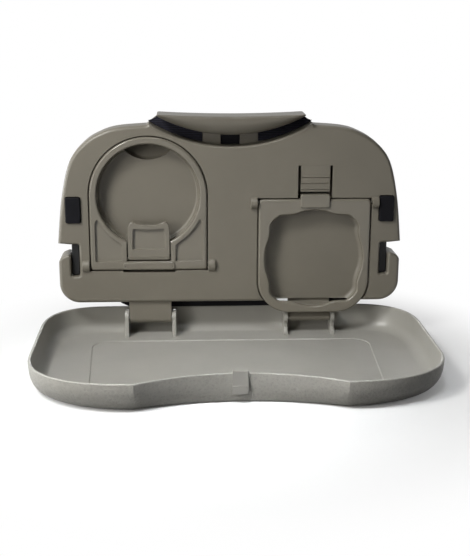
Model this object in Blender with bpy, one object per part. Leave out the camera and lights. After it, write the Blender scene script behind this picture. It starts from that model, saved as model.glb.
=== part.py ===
"""Car seat tray table, standing open: an upright back panel with two folding cup holders, and a tray hinged below it.

Every separate piece is its own object. Lengths are in metres, X runs to the right, Y to the back and Z up.
The origin is at the centre of the tray's base.
"""

import math

import bmesh
import bpy
from mathutils import Vector

# Clearances and counts that every piece uses
FIT_GAP = 0.0003
RUNNING_GAP = 0.0006
PIN_GAP = 0.0001
OVERRUN = 0.004
ARC_STEPS = 6
ROUND_SIDES = 14
BIG_ROUND_SIDES = 40

# Tray
TRAY_WIDTH = 0.3508
TRAY_DEPTH = 0.2115
TRAY_HEIGHT = 0.026
TRAY_WALL = 0.0024
TRAY_FLOOR = 0.0026
REAR_CORNER_WIDTH = 0.063
REAR_CORNER_DEPTH = 0.065
REAR_CORNER_POWER = 2.6
LOBE_DEPTH = 0.071
RIM_LOBE_POWER = 2.3
BASE_LOBE_POWER = 2.0
FRONT_CORNER_SPACING = 0.170
SCALLOP_DEPTH = 0.022
BASE_SIDE_INSET = 0.0045
BASE_REAR_INSET = 0.0035
BASE_LOBE_INSET = 0.0115
BASE_SCALLOP_INSET = 0.003
# How the wall bends in towards the base: upright near the rim, and ever flatter below it
WALL_BEND_POWER = 2.5
WALL_LEVEL_SHARES = (0.12, 0.25, 0.42, 0.65)
RIM_ROUNDING = 0.0009
BASE_ROUNDING = 0.0012
FLOOR_FILLET = 0.008
# Height share and inset share of the fillet between wall and floor, from its top to the floor
FILLET_SHARES = ((1.0, 0.0), (0.62, 0.08), (0.3, 0.3), (0.1, 0.6), (0.0, 1.0))

# Sunken middle of the tray's floor
WELL_DEPTH = 0.0008
WELL_WIDTH = 0.2600
WELL_FRONT_WIDTH = 0.2500
WELL_REAR_MARGIN = 0.0375
WELL_FRONT_MARGIN = 0.014
WELL_CORNER_RADIUS = 0.017

# Hinge between tray and panel
HINGE_SETBACK = 0.0155
HINGE_HEIGHT = 0.0190
HINGE_SPACING = 0.1526
BARREL_RADIUS = 0.005
HINGE_PIN_RADIUS = 0.0016
LEAF_WIDTH = 0.0402
EAR_THICKNESS = 0.0038
EAR_RADIUS = 0.007
EAR_NECK = 0.0033
EAR_FOOT_REACH = 0.0138
EAR_FOOT_HEIGHT = 0.003
EAR_FOOT_TOP = 0.0052
LEAF_PLATE = 0.008
LEAF_CRANK = 0.0103
CRANKED_PLATE = 0.0042
LEAF_RISE = 0.0235
LEAF_BOSS_RADIUS = 0.0036

# Back panel
PANEL_WIDTH = 0.3224
PANEL_HEIGHT = 0.1677
PANEL_LIFT = 0.0108
PANEL_NEST = 0.0083
PANEL_DEPTH = 0.022
PANEL_WALL = 0.0025
PANEL_EDGE = 0.0035
PANEL_CORNER_RADIUS = 0.019
COVER_THICKNESS = 0.003
# Side of the panel from the groove's end down to the notch, as shares of half its width and of its height
PANEL_SIDE_SHARES = (
    (0.478, 0.997),
    (0.642, 0.984),
    (0.737, 0.957),
    (0.831, 0.903),
    (0.919, 0.797),
    (0.971, 0.597),
    (1.0, 0.346),
)

# Groove across the top, which takes the closed tray's front wall, and the hand grip above it
GROOVE_RADIUS = 0.1435
GROOVE_DROP = 0.0204
GROOVE_HALF_SPAN = 0.077
GROOVE_WIDTH = 0.0113
GROOVE_DEPTH = 0.018
GROOVE_LIP = 0.0025
GRIP_HALF_LENGTH = 0.0675
GRIP_TOP_RISE = 0.0103
GRIP_TOP_DIP = 0.0013
GRIP_PROUD = 0.010
GRIP_END_ROUNDING = 0.002
GRIP_SCREW_X = 0.030
GRIP_SCREW_DROP = 0.0085
# Pillow front of the grip: how far back each section lies, and how much of its height is left
GRIP_PILLOW_SHARES = ((0.22, 1.0), (0.09, 0.93), (0.025, 0.8), (0.0, 0.52))
CATCH_HALF_WIDTH = 0.009
BRIDGE_WIDTH = 0.0165
BRIDGE_HEIGHT = 0.0012
LINER_THICKNESS = 0.0016

# Notches at the sides, which hold the strap hooks
SLOT_INNER_MARGIN = 0.0196
SLOT_WIDTH = 0.0082
SLOT_BOTTOM = 0.0252
SLOT_TOP = 0.0562
MOUTH_HEIGHT = 0.0078
MOUTH_FLARE = 0.0015
LIP_DROP = 0.0095
SLOT_ROUNDING = 0.002

# Rubber bumpers
BUMPER_WIDTH = 0.0136
BUMPER_HEIGHT = 0.0242
BUMPER_SIDE_MARGIN = 0.0082
BUMPER_BOTTOM = 0.077
BUMPER_SEAT = 0.003
BUMPER_PROUD = 0.0024
BUMPER_ROUNDING = 0.0015
BOSS_SIDE_GAP = 0.0005

# Left cup ring, hinged at its lower bar
RING_RISE = 0.1022
RING_OUTER_RADIUS = 0.0545
RING_WALL = 0.0067
RING_THICKNESS = 0.0065
RING_PROUD = 0.001
RING_AXIS_RISE = 0.0353
RING_BAR_RADIUS = 0.0039
RING_NECK_WIDTH = 0.041
RING_NECK_WALL = 0.0046
RING_SIDE_WALL = 0.0047
RING_GUSSET_TOP = 0.0762
RING_GUSSET_NECK_TOP = 0.055
RING_GUSSET_DEPTH = 0.0024
RING_GUSSET_WEB = 0.0017
RING_RECESS_GAP = 0.0009
RING_RECESS_DEPTH = 0.0072
RING_PAD_HALF = 0.0248
RING_PAD_PROUD = 0.0013
RING_BOSS_LENGTH = 0.0068
RING_BOSS_RADIUS = 0.0060
RING_EDGE = 0.0009
BOWL_STEP = 0.0006
BOWL_SLOPE = 0.003
BOWL_DEPTH = 0.0125
SCOOP_RADIUS = 0.0305
SCOOP_REACH = 0.0318
SCOOP_TOP = 0.0475
SCOOP_DEPTH = 0.0158

# Tongue in the ring's neck, which drops to carry the cup's foot
TONGUE_WIDTH = 0.0392
TONGUE_TOP = 0.0779
TONGUE_DIP = 0.0034
TONGUE_BOTTOM = 0.0411
TONGUE_AXIS_RISE = 0.0446
TONGUE_THICKNESS = 0.0042
TONGUE_SETBACK = 0.0004
TONGUE_PAN_WIDTH = 0.0305
TONGUE_PAN_BOTTOM = 0.0513
TONGUE_PAN_TOP = 0.0712
TONGUE_PAN_DEPTH = 0.0026
TONGUE_EDGE = 0.0006

# Right cup holder, hinged at its top bar
HOLDER_WIDTH = 0.1054
HOLDER_AXIS_RISE = 0.0949
HOLDER_TOP_MARGIN = 0.0033
HOLDER_LENGTH = 0.1102
HOLDER_CORNER_RADIUS = 0.031
HOLDER_THICKNESS = 0.0046
HOLDER_PROUD = 0.0018
HOLDER_EDGE = 0.0011
HOLDER_SIDE_RAIL = 0.006
HOLDER_TOP_RAIL = 0.0101
HOLDER_FOOT_RAIL = 0.0061
# One quarter of the wavy opening, as shares of its half width and half height
OPENING_QUARTER_SHARES = (
    (0.20, 0.972),
    (0.40, 0.910),
    (0.56, 0.893),
    (0.69, 0.885),
    (0.78, 0.825),
    (0.862, 0.735),
    (0.892, 0.650),
    (0.892, 0.520),
    (0.925, 0.370),
    (0.975, 0.210),
)
HOLDER_RECESS_GAP = 0.0009
HOLDER_RECESS_DEPTH = 0.0056
HOLDER_BOWL_GROWTH = 0.0015
HOLDER_BOWL_DEPTH = 0.0104
HOLDER_BOSS_LENGTH = 0.0066
HOLDER_BOSS_RADIUS = 0.0056
CAM_WIDTH = 0.0276
CAM_RISE = 0.0082
CAM_DROP = 0.0046
CAM_PROUD = 0.0016

# Spring clip above the holder
CLIP_WIDTH = 0.0274
CLIP_TOP = 0.1297
CLIP_GAP = 0.0022
CLIP_SLOT = 0.0023
CLIP_THICKNESS = 0.0022
CLIP_TRAVEL = 0.0034
CLIP_RIBS = 3
CLIP_RIB_PITCH = 0.0056
CLIP_RIB_HEIGHT = 0.0018
CLIP_RIB_PROUD = 0.0008

# Steel stub pins of the folding cup holders
STUB_RADIUS = 0.0015
STUB_BITE = 0.006
TONGUE_PIN_RADIUS = 0.0012

# Latch tab on the tray's front wall
TAB_WIDTH = 0.0128
TAB_THICKNESS = 0.0010
TAB_RISE = 0.0023
TAB_FOOT = 0.0083
TAB_WEDGE_TOP = 0.0155
TAB_WEDGE_PROUD = 0.0003
TAB_LIP_DEPTH = 0.004

# Screws: pan heads seen from the rear
SCREW_RADIUS = 0.0014
SCREW_HEAD_RADIUS = 0.003
SCREW_HEAD_HEIGHT = 0.0017
SCREW_BORE_RADIUS = 0.0018
SCREW_REACH = 0.010
COVER_BOSS_RADIUS = 0.0042
COVER_SCREW_TOP_X = 0.114
COVER_SCREW_TOP_DROP = 0.0135
COVER_SCREW_LOW_X = 0.147
COVER_SCREW_LOW_RISE = 0.0102
COVER_SCREW_MID_RISE = 0.083
LEAF_SCREW_SPREAD = 0.021
LEAF_SCREW_RISE = 0.0155

# Straps, hooks and pads on the rear
WEBBING = 0.0014
SEAT_STRAP_WIDTH = 0.030
STRAP_STANDOFF = 0.0018
HOOK_FRONT_DEPTH = 0.006
HOOK_PLATE = 0.0018
HOOK_PLATE_INNER = 0.014
HOOK_PLATE_OUTER = 0.0065
SLIDER_X = 0.060
SLIDER_WIDTH = 0.009
SLIDER_WALL = 0.0016
HEADREST_STRAP_WIDTH = 0.025
HEADREST_STRAP_HALF = 0.101
HEADREST_STRAP_DROP = 0.0225
ANCHOR_X = 0.094
ANCHOR_WIDTH = 0.018
ANCHOR_PLATE = 0.0018
ANCHOR_WALL = 0.002
PAD_WIDTH = 0.066
PAD_HEIGHT = 0.044
PAD_THICKNESS = 0.0075
PAD_X = 0.072
PAD_RISE = 0.074
PAD_ROUNDING = 0.006
STOP_OVERHANG = 0.0052
STOP_DEPTH = 0.0052

# Places that follow from the sizes above
REAR_Y = TRAY_DEPTH / 2
FRONT_Y = -TRAY_DEPTH / 2
AXIS_Y = REAR_Y - HINGE_SETBACK
AXIS_Z = HINGE_HEIGHT
FACE_Y = AXIS_Y - PANEL_NEST
SHELL_BACK_Y = FACE_Y + PANEL_DEPTH
COVER_FRONT_Y = SHELL_BACK_Y + FIT_GAP
COVER_BACK_Y = COVER_FRONT_Y + COVER_THICKNESS
PANEL_BOTTOM = TRAY_HEIGHT + PANEL_LIFT
PANEL_TOP = PANEL_BOTTOM + PANEL_HEIGHT
GROOVE_LOW = PANEL_TOP - GROOVE_DROP
GROOVE_CENTRE_Z = GROOVE_LOW + GROOVE_RADIUS
GRIP_LOW = GROOVE_LOW + GROOVE_WIDTH
GROOVE_FLOOR_Y = FACE_Y + GROOVE_DEPTH
HALF_PANEL = PANEL_WIDTH / 2
BOSS_END_X = HALF_PANEL - BUMPER_SIDE_MARGIN - BUMPER_WIDTH - BOSS_SIDE_GAP
RING_X = RING_OUTER_RADIUS + RING_RECESS_GAP + RING_BOSS_LENGTH - BOSS_END_X
HOLDER_X = BOSS_END_X - HOLDER_BOSS_LENGTH - HOLDER_RECESS_GAP - HOLDER_WIDTH / 2
RING_Z = PANEL_BOTTOM + RING_RISE
RING_INNER_RADIUS = RING_OUTER_RADIUS - RING_WALL
BOWL_RADIUS = RING_INNER_RADIUS - BOWL_STEP
BOWL_FLOOR_RADIUS = BOWL_RADIUS - BOWL_SLOPE
RING_AXIS_Z = PANEL_BOTTOM + RING_AXIS_RISE
RING_FRONT_Y = FACE_Y - RING_PROUD
RING_BACK_Y = RING_FRONT_Y + RING_THICKNESS
RING_AXIS_Y = (RING_FRONT_Y + RING_BACK_Y) / 2
HOLDER_AXIS_Z = PANEL_BOTTOM + HOLDER_AXIS_RISE
HOLDER_FRONT_Y = FACE_Y - HOLDER_PROUD
HOLDER_BACK_Y = HOLDER_FRONT_Y + HOLDER_THICKNESS
HOLDER_AXIS_Y = (HOLDER_FRONT_Y + HOLDER_BACK_Y) / 2
HOLDER_TOP = HOLDER_AXIS_Z + HOLDER_TOP_MARGIN
HOLDER_OPENING_WIDTH = HOLDER_WIDTH - 2 * HOLDER_SIDE_RAIL
HOLDER_OPENING_HEIGHT = HOLDER_LENGTH - HOLDER_TOP_RAIL - HOLDER_FOOT_RAIL
TONGUE_AXIS_Z = PANEL_BOTTOM + TONGUE_AXIS_RISE
SLOT_INNER_X = HALF_PANEL - SLOT_INNER_MARGIN
STRAP_Y = COVER_BACK_Y + STRAP_STANDOFF
SEAT_STRAP_Z = PANEL_BOTTOM + (SLOT_BOTTOM + SLOT_TOP) / 2
HEADREST_STRAP_Z = PANEL_TOP - HEADREST_STRAP_DROP
BRIDGE_END_X = CATCH_HALF_WIDTH + BRIDGE_WIDTH
STOP_HALF_LENGTH = HINGE_SPACING / 2 + LEAF_WIDTH / 2 + RUNNING_GAP + EAR_THICKNESS + STOP_OVERHANG
SCALLOP_RADIUS = ((FRONT_CORNER_SPACING / 2) ** 2 + SCALLOP_DEPTH**2) / (2 * SCALLOP_DEPTH)

# Colour as linear red, green and blue, then roughness and metallic
FINISHES = {
    "beige_abs": ((0.262, 0.232, 0.180), 0.42, 0.0),
    "black_rubber": ((0.012, 0.012, 0.014), 0.62, 0.0),
    "black_nylon": ((0.016, 0.016, 0.020), 0.55, 0.0),
    "black_webbing": ((0.013, 0.013, 0.017), 0.85, 0.0),
    "grey_foam": ((0.045, 0.045, 0.047), 0.95, 0.0),
    "zinc_steel": ((0.55, 0.56, 0.58), 0.32, 1.0),
}


def clear_scene():
    for obj in list(bpy.data.objects):
        bpy.data.objects.remove(obj, do_unlink=True)


def finish(name):
    """The material of this name, made once from its colour, roughness and metallic value."""
    found = bpy.data.materials.get(name)
    if found:
        return found
    colour, roughness, metallic = FINISHES[name]
    made = bpy.data.materials.new(name)
    made.use_nodes = True
    shader = made.node_tree.nodes["Principled BSDF"]
    shader.inputs["Base Color"].default_value = (*colour, 1.0)
    shader.inputs["Roughness"].default_value = roughness
    shader.inputs["Metallic"].default_value = metallic
    made.diffuse_color = (*colour, 1.0)
    return made


def new_object(name, mesh):
    obj = bpy.data.objects.new(name, mesh)
    bpy.context.scene.collection.objects.link(obj)
    return obj


def loft(name, rings):
    """A closed solid through rings of equally many points, with a flat cap at both ends."""
    shape = bmesh.new()
    rows = [[shape.verts.new(point) for point in ring] for ring in rings]
    for lower, upper in zip(rows, rows[1:]):
        for i in range(len(lower)):
            j = (i + 1) % len(lower)
            shape.faces.new((lower[i], lower[j], upper[j], upper[i]))
    shape.faces.new(list(reversed(rows[0])))
    shape.faces.new(rows[-1])
    bmesh.ops.recalc_face_normals(shape, faces=shape.faces)
    mesh = bpy.data.meshes.new(name)
    shape.to_mesh(mesh)
    shape.free()
    return new_object(name, mesh)


def inset(outline, distance):
    """The closed outline moved inwards by a distance, or outwards if it is negative."""
    if not distance:
        return list(outline)
    area = sum(a[0] * b[1] - b[0] * a[1] for a, b in zip(outline, outline[1:] + outline[:1]))
    side = 1 if area > 0 else -1
    moved = []
    for before, here, after in zip(outline[-1:] + outline[:-1], outline, outline[1:] + outline[:1]):
        first = Vector((here[0] - before[0], here[1] - before[1])).normalized()
        second = Vector((after[0] - here[0], after[1] - here[1])).normalized()
        normals = [Vector((-run.y, run.x)) * side for run in (first, second)]
        middle = (normals[0] + normals[1]).normalized()
        reach = distance / max(middle.dot(normals[0]), 0.5)
        moved.append((here[0] + middle.x * reach, here[1] + middle.y * reach))
    return moved


def upright(name, outline, sections):
    """A solid whose outline lies in X and Z, lofted along Y through (y, inset) sections."""
    rings = [[(x, y, z) for x, z in inset(outline, edge)] for y, edge in sections]
    return loft(name, rings)


def slab(name, outline, front, back):
    return upright(name, outline, ((front, 0), (back, 0)))


def edged(name, outline, front, back, edge):
    """An upright slab with a small bevel round both faces."""
    return upright(name, outline, ((front, edge), (front + edge, 0), (back - edge, 0), (back, edge)))


def across(name, profile, left, right):
    """A solid whose profile lies in Y and Z, running along X."""
    return loft(name, [[(x, y, z) for y, z in profile] for x in (left, right)])


def box(name, low, high):
    corners = ((low[0], low[2]), (high[0], low[2]), (high[0], high[2]), (low[0], high[2]))
    return slab(name, corners, low[1], high[1])


def circle(centre, radius, sides=ROUND_SIDES):
    turns = [math.tau * i / sides for i in range(sides)]
    return [(centre[0] + radius * math.cos(turn), centre[1] + radius * math.sin(turn)) for turn in turns]


def arc(centre, radius, start, end, steps=ARC_STEPS):
    """Points from one angle to another, in degrees, both ends included."""
    turns = [math.radians(start + (end - start) * i / steps) for i in range(steps + 1)]
    return [(centre[0] + radius * math.cos(turn), centre[1] + radius * math.sin(turn)) for turn in turns]


def rounded_box(low, high, radius, steps=3):
    """A rectangle's outline with round corners."""
    middle = [(high[0] - radius, high[1] - radius), (low[0] + radius, high[1] - radius)]
    middle += [(low[0] + radius, low[1] + radius), (high[0] - radius, low[1] + radius)]
    points = []
    for i, centre in enumerate(middle):
        points += arc(centre, radius, 90 * i, 90 * i + 90, steps)
    return points


def smooth(points, steps):
    """A Catmull-Rom curve through the points of an open run."""
    ends = [points[0]] + list(points) + [points[-1]]
    curve = []
    for p, q, r, s in zip(ends, ends[1:], ends[2:], ends[3:]):
        for i in range(steps):
            t = i / steps
            weights = (
                -t / 2 + t * t - t**3 / 2,
                1 - 2.5 * t * t + 1.5 * t**3,
                t / 2 + 2 * t * t - 1.5 * t**3,
                (t**3 - t * t) / 2,
            )
            curve.append(tuple(sum(w * v[k] for w, v in zip(weights, (p, q, r, s))) for k in (0, 1)))
    return curve + [tuple(points[-1])]


def both_sides(half):
    """A closed outline from its right half, whose ends lie on the middle line."""
    return list(half) + [(-x, y) for x, y in reversed(half[1:-1])]


def boolean(target, tool, operation):
    """Joins or cuts the target with a tool, which is removed."""
    step = target.modifiers.new(operation.title(), "BOOLEAN")
    step.operation = operation
    step.object = tool
    graph = bpy.context.evaluated_depsgraph_get()
    result = bpy.data.meshes.new_from_object(target.evaluated_get(graph))
    target.modifiers.clear()
    used = target.data
    target.data = result
    bpy.data.meshes.remove(used)
    bpy.data.objects.remove(tool, do_unlink=True)


def cut(target, *tools):
    for tool in tools:
        boolean(target, tool, "DIFFERENCE")


def join(target, *tools):
    for tool in tools:
        boolean(target, tool, "UNION")


def place(obj, material, origin):
    """Gives a finished piece its name, material, smooth shading and its origin at a point."""
    shift = Vector(origin)
    for vertex in obj.data.vertices:
        vertex.co -= shift
    obj.location = shift
    obj.data.name = obj.name
    obj.data.materials.clear()
    obj.data.materials.append(finish(material))
    obj.data.shade_smooth()
    obj.data.set_sharp_from_angle(angle=math.radians(32))
    return obj


def bend(corner, width, depth, power, steps):
    """A quarter of a superellipse round a corner point, from its side round to its top."""
    points = []
    for i in range(steps + 1):
        turn = math.radians(90) * i / steps
        along = width * math.cos(turn) ** (2 / power)
        up = depth * math.sin(turn) ** (2 / power)
        points.append((corner[0] - width + along, corner[1] - depth + up))
    return points


def tray_half(half_width, rear, front, scallop, power):
    """Right half of the tray's plan: rear corner, front lobe, front corner and scallop."""
    rear_bend = bend((half_width, rear), REAR_CORNER_WIDTH, REAR_CORNER_DEPTH, REAR_CORNER_POWER, 8)
    corner_x = FRONT_CORNER_SPACING / 2
    lobe_depth = LOBE_DEPTH - TRAY_WIDTH / 2 + half_width
    lobe = bend((half_width, -front), half_width - corner_x, lobe_depth, power, 11)
    radius = (corner_x**2 + scallop**2) / (2 * scallop)
    sweep = math.degrees(math.asin(corner_x / radius))
    hollow = arc((0, front + scallop - radius), radius, 90 - sweep, 90, 7)
    return [(0, rear)] + list(reversed(rear_bend)) + [(x, -y) for x, y in lobe] + hollow[1:]


def tray_outline(share):
    """Plan of the tray's outer wall, from the rim at share 0 to the base at share 1."""
    half = tray_half(
        TRAY_WIDTH / 2 - BASE_SIDE_INSET * share,
        REAR_Y - BASE_REAR_INSET * share,
        FRONT_Y + BASE_LOBE_INSET * share,
        SCALLOP_DEPTH - (BASE_LOBE_INSET - BASE_SCALLOP_INSET) * share,
        RIM_LOBE_POWER + (BASE_LOBE_POWER - RIM_LOBE_POWER) * share,
    )
    return both_sides(half)


def tray_ring(height, distance):
    """One level of the tray's wall, a distance inside its sloping outer face."""
    share = (1 - height / TRAY_HEIGHT) ** WALL_BEND_POWER
    return [(x, y, height) for x, y in inset(tray_outline(share), distance)]


def well_outline():
    """Sunken part of the floor: square to the rear, and following the scalloped front."""
    inner = inset(tray_outline(1), WELL_FRONT_MARGIN)
    front = [(x, y) for x, y in inner if 0 <= x < WELL_FRONT_WIDTH / 2 and y < 0]
    rear = REAR_Y - WELL_REAR_MARGIN
    corner = (WELL_WIDTH / 2 - WELL_CORNER_RADIUS, rear - WELL_CORNER_RADIUS)
    right = [(0, rear)] + list(reversed(arc(corner, WELL_CORNER_RADIUS, 0, 90, 5)))
    return both_sides(right + front)


def ear_profile():
    """Side view of a hinge ear: a low foot in front, a neck, a round head on the axis and a web to the rear wall."""
    deep = TRAY_FLOOR / 2
    foot_front = AXIS_Y - EAR_FOOT_REACH
    wall = REAR_Y - BASE_REAR_INSET - TRAY_WALL / 2
    neck = 360 - math.degrees(math.acos(-EAR_NECK / EAR_RADIUS))
    head = arc((AXIS_Y, AXIS_Z), EAR_RADIUS, neck, 50, 11)
    lead = [(foot_front, deep), (foot_front, TRAY_FLOOR + EAR_FOOT_HEIGHT)]
    lead.append((AXIS_Y - EAR_NECK, TRAY_FLOOR + EAR_FOOT_TOP))
    web_top = AXIS_Z + EAR_RADIUS * math.sin(math.radians(50))
    return lead + head + [(wall, web_top), (wall, deep)]


def ear_places():
    """Left and right X of every ear, two at each hinge leaf."""
    reach = LEAF_WIDTH / 2 + RUNNING_GAP
    for side in (-1, 1):
        middle = side * HINGE_SPACING / 2
        for direction in (-1, 1):
            near = middle + direction * reach
            far = near + direction * EAR_THICKNESS
            yield min(near, far), max(near, far)


def build_tray():
    outer = [(0, BASE_ROUNDING), (BASE_ROUNDING / 3, BASE_ROUNDING / 3), (BASE_ROUNDING, 0)]
    outer += [(TRAY_HEIGHT * share, 0) for share in WALL_LEVEL_SHARES]
    outer += [(TRAY_HEIGHT - RIM_ROUNDING, 0), (TRAY_HEIGHT - RIM_ROUNDING / 3, RIM_ROUNDING / 3)]
    outer.append((TRAY_HEIGHT, RIM_ROUNDING))
    inner = [(TRAY_HEIGHT, TRAY_WALL - RIM_ROUNDING)]
    inner.append((TRAY_HEIGHT - RIM_ROUNDING / 3, TRAY_WALL - RIM_ROUNDING / 3))
    inner += [(TRAY_HEIGHT - RIM_ROUNDING, TRAY_WALL), (TRAY_HEIGHT * WALL_LEVEL_SHARES[-1], TRAY_WALL)]
    for height_share, inset_share in FILLET_SHARES:
        height = TRAY_FLOOR + FLOOR_FILLET * height_share
        inner.append((height, TRAY_WALL + FLOOR_FILLET * inset_share))
    tray = loft("tray", [tray_ring(height, distance) for height, distance in outer + inner])
    for left, right in ear_places():
        ear = across("ear", ear_profile(), left, right)
        join(tray, ear)
        bore = circle((AXIS_Y, AXIS_Z), HINGE_PIN_RADIUS + PIN_GAP)
        cut(tray, across("bore", bore, left - OVERRUN / 4, right + OVERRUN / 4))
    well = [(x, y, TRAY_FLOOR - WELL_DEPTH) for x, y in well_outline()]
    over = [(x, y, TRAY_FLOOR + WELL_DEPTH) for x, y in well_outline()]
    cut(tray, loft("well", [well, over]))
    place(tray, "beige_abs", (0, AXIS_Y, AXIS_Z))


def build_latch_tab():
    """Springy tab hooked over the tray's front wall, with a wedge at its free end."""
    wall = FRONT_Y + SCALLOP_DEPTH
    sag = SCALLOP_RADIUS - math.sqrt(SCALLOP_RADIUS**2 - (TAB_WIDTH / 2) ** 2)
    near = wall - sag - RUNNING_GAP
    outer = near - TAB_THICKNESS
    inner = wall + TRAY_WALL + BASE_SCALLOP_INSET * TAB_LIP_DEPTH / TRAY_HEIGHT + FIT_GAP
    top = TRAY_HEIGHT + TAB_RISE
    under = TRAY_HEIGHT + FIT_GAP
    lip = TRAY_HEIGHT - TAB_LIP_DEPTH
    profile = [(outer, top - TAB_THICKNESS / 2), (outer, TAB_WEDGE_TOP)]
    profile += [(outer - TAB_WEDGE_PROUD, TAB_WEDGE_TOP - TAB_WEDGE_PROUD)]
    profile += [(outer - TAB_WEDGE_PROUD / 2, TAB_FOOT), (near, TAB_FOOT), (near, under), (inner, under)]
    profile += [(inner, lip), (inner + TAB_THICKNESS, lip), (inner + TAB_THICKNESS, top)]
    profile.append((outer + TAB_THICKNESS / 2, top))
    tab = across("latch_tab", profile, -TAB_WIDTH / 2, TAB_WIDTH / 2)
    place(tab, "beige_abs", (0, near, top))


def leaf_profile(cranked):
    """Side view of a hinge leaf: barrel, plate and, behind the cup holder, a cranked upper part."""
    barrel = arc((AXIS_Y, AXIS_Z), BARREL_RADIUS, 180, 360, 9)
    front = AXIS_Y - BARREL_RADIUS
    top = PANEL_BOTTOM + LEAF_RISE
    if not cranked:
        back = front + LEAF_PLATE
        return barrel + [(back, AXIS_Z + BARREL_RADIUS), (back, top), (front, top)]
    crank_front = AXIS_Y - BARREL_RADIUS + LEAF_CRANK
    crank_back = crank_front + CRANKED_PLATE
    turn_low = AXIS_Z + BARREL_RADIUS
    turn_high = PANEL_BOTTOM - RUNNING_GAP
    lower = front + CRANKED_PLATE
    points = barrel + [(AXIS_Y + BARREL_RADIUS, turn_low), (crank_back, turn_high), (crank_back, top)]
    return points + [(crank_front, top), (crank_front, turn_high), (lower, turn_low), (front, AXIS_Z + FIT_GAP)]


def leaf_screw_places(side):
    middle = side * HINGE_SPACING / 2
    return [(middle + spread * LEAF_SCREW_SPREAD / 2, PANEL_BOTTOM + LEAF_SCREW_RISE) for spread in (-1, 1)]


def build_hinge(name, side, cranked):
    middle = side * HINGE_SPACING / 2
    half = LEAF_WIDTH / 2
    leaf = across("hinge_leaf_" + name, leaf_profile(cranked), middle - half, middle + half)
    for place_x, place_z in leaf_screw_places(side):
        back = AXIS_Y - BARREL_RADIUS + (LEAF_CRANK + CRANKED_PLATE if cranked else LEAF_PLATE)
        boss = circle((place_x, place_z), LEAF_BOSS_RADIUS)
        join(leaf, slab("boss", boss, back - PANEL_WALL, COVER_FRONT_Y - FIT_GAP))
        bore = circle((place_x, place_z), SCREW_BORE_RADIUS)
        cut(leaf, slab("bore", bore, COVER_BACK_Y - SCREW_REACH, COVER_BACK_Y))
    bore = circle((AXIS_Y, AXIS_Z), HINGE_PIN_RADIUS + PIN_GAP)
    cut(leaf, across("bore", bore, middle - half - OVERRUN, middle + half + OVERRUN))
    place(leaf, "beige_abs", (middle, AXIS_Y, AXIS_Z))
    reach = half + RUNNING_GAP + EAR_THICKNESS
    pin = across("hinge_pin_" + name, circle((AXIS_Y, AXIS_Z), HINGE_PIN_RADIUS), middle - reach, middle + reach)
    place(pin, "zinc_steel", (middle, AXIS_Y, AXIS_Z))


def side_run(steps=3):
    """Right edge of the panel, from the groove's end down to the notch."""
    run = [(HALF_PANEL * x, PANEL_BOTTOM + PANEL_HEIGHT * z) for x, z in PANEL_SIDE_SHARES]
    return smooth(run, steps)


def panel_outline():
    """The whole front view of the panel's body, without its side notches."""
    corner = (HALF_PANEL - PANEL_CORNER_RADIUS, PANEL_BOTTOM + PANEL_CORNER_RADIUS)
    top = grip_top(GRIP_HALF_LENGTH) - GRIP_TOP_RISE / 3
    right = [(0, top), (GRIP_HALF_LENGTH, top)] + side_run()
    right += reversed(arc(corner, PANEL_CORNER_RADIUS, -90, 0, 5))
    right.append((0, PANEL_BOTTOM))
    return both_sides(right)


def notch_outline(grow=0):
    """The hook slot on the right and its mouth, open to the side."""
    low = PANEL_BOTTOM + SLOT_BOTTOM - grow
    high = PANEL_BOTTOM + SLOT_TOP + grow
    inner = SLOT_INNER_X - grow
    outer = SLOT_INNER_X + SLOT_WIDTH + grow
    beyond = HALF_PANEL + OVERRUN
    lip = PANEL_BOTTOM + SLOT_TOP - MOUTH_HEIGHT
    rounding = SLOT_ROUNDING + grow
    points = arc((inner + rounding, low + rounding), rounding, 270, 180, 3)
    points += arc((inner + rounding, high - rounding), rounding, 180, 90, 3)
    points += [(outer, high), (beyond, high + MOUTH_FLARE), (beyond, lip - LIP_DROP - MOUTH_FLARE)]
    points += [(HALF_PANEL, lip - LIP_DROP - grow), (HALF_PANEL - LIP_DROP / 3, lip - LIP_DROP / 2 - grow)]
    points += [(outer + SLOT_ROUNDING, lip - grow), (outer, lip - SLOT_ROUNDING / 2 - grow)]
    points += arc((outer - rounding, low + rounding), rounding, 0, -90, 3)
    return points


def mirrored(outline):
    return [(-x, z) for x, z in reversed(outline)]


def groove_low(x):
    """Height of the groove's lower edge at this place across the panel."""
    return GROOVE_CENTRE_Z - math.sqrt(GROOVE_RADIUS**2 - x * x)


def grip_top(x):
    share = abs(x) / GRIP_HALF_LENGTH
    return PANEL_TOP + GRIP_TOP_RISE - GRIP_TOP_DIP * (1 - share * share)


def groove_outline():
    """Everything above the groove's lower edge, out past the top of the panel."""
    reach = GROOVE_HALF_SPAN + OVERRUN
    steps = 22
    low = [(-reach + 2 * reach * i / steps, 0) for i in range(steps + 1)]
    low = [(x, groove_low(x)) for x, _ in low]
    over = PANEL_TOP + GRIP_TOP_RISE + OVERRUN
    return low + [(reach, over), (-reach, over)]


def ring_outline(grow=0):
    """Arch of the left cup ring: a half circle on two straight sides, down to its bar."""
    centre = (RING_X, RING_Z)
    radius = RING_OUTER_RADIUS + grow
    foot = RING_AXIS_Z - RING_BAR_RADIUS - grow
    return arc(centre, radius, 0, 180, 22) + [(RING_X - radius, foot), (RING_X + radius, foot)]


def holder_outline(grow=0):
    """Outer edge of the right cup holder, square above and round below."""
    half = HOLDER_WIDTH / 2 + grow
    top = HOLDER_TOP + grow
    low = HOLDER_TOP - HOLDER_LENGTH - grow
    radius = HOLDER_CORNER_RADIUS + grow
    points = [(HOLDER_X + half, top)]
    points += reversed(arc((HOLDER_X + half - radius, low + radius), radius, -90, 0, 7))
    points += reversed(arc((HOLDER_X - half + radius, low + radius), radius, 180, 270, 7))
    return points + [(HOLDER_X - half, top)]


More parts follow.
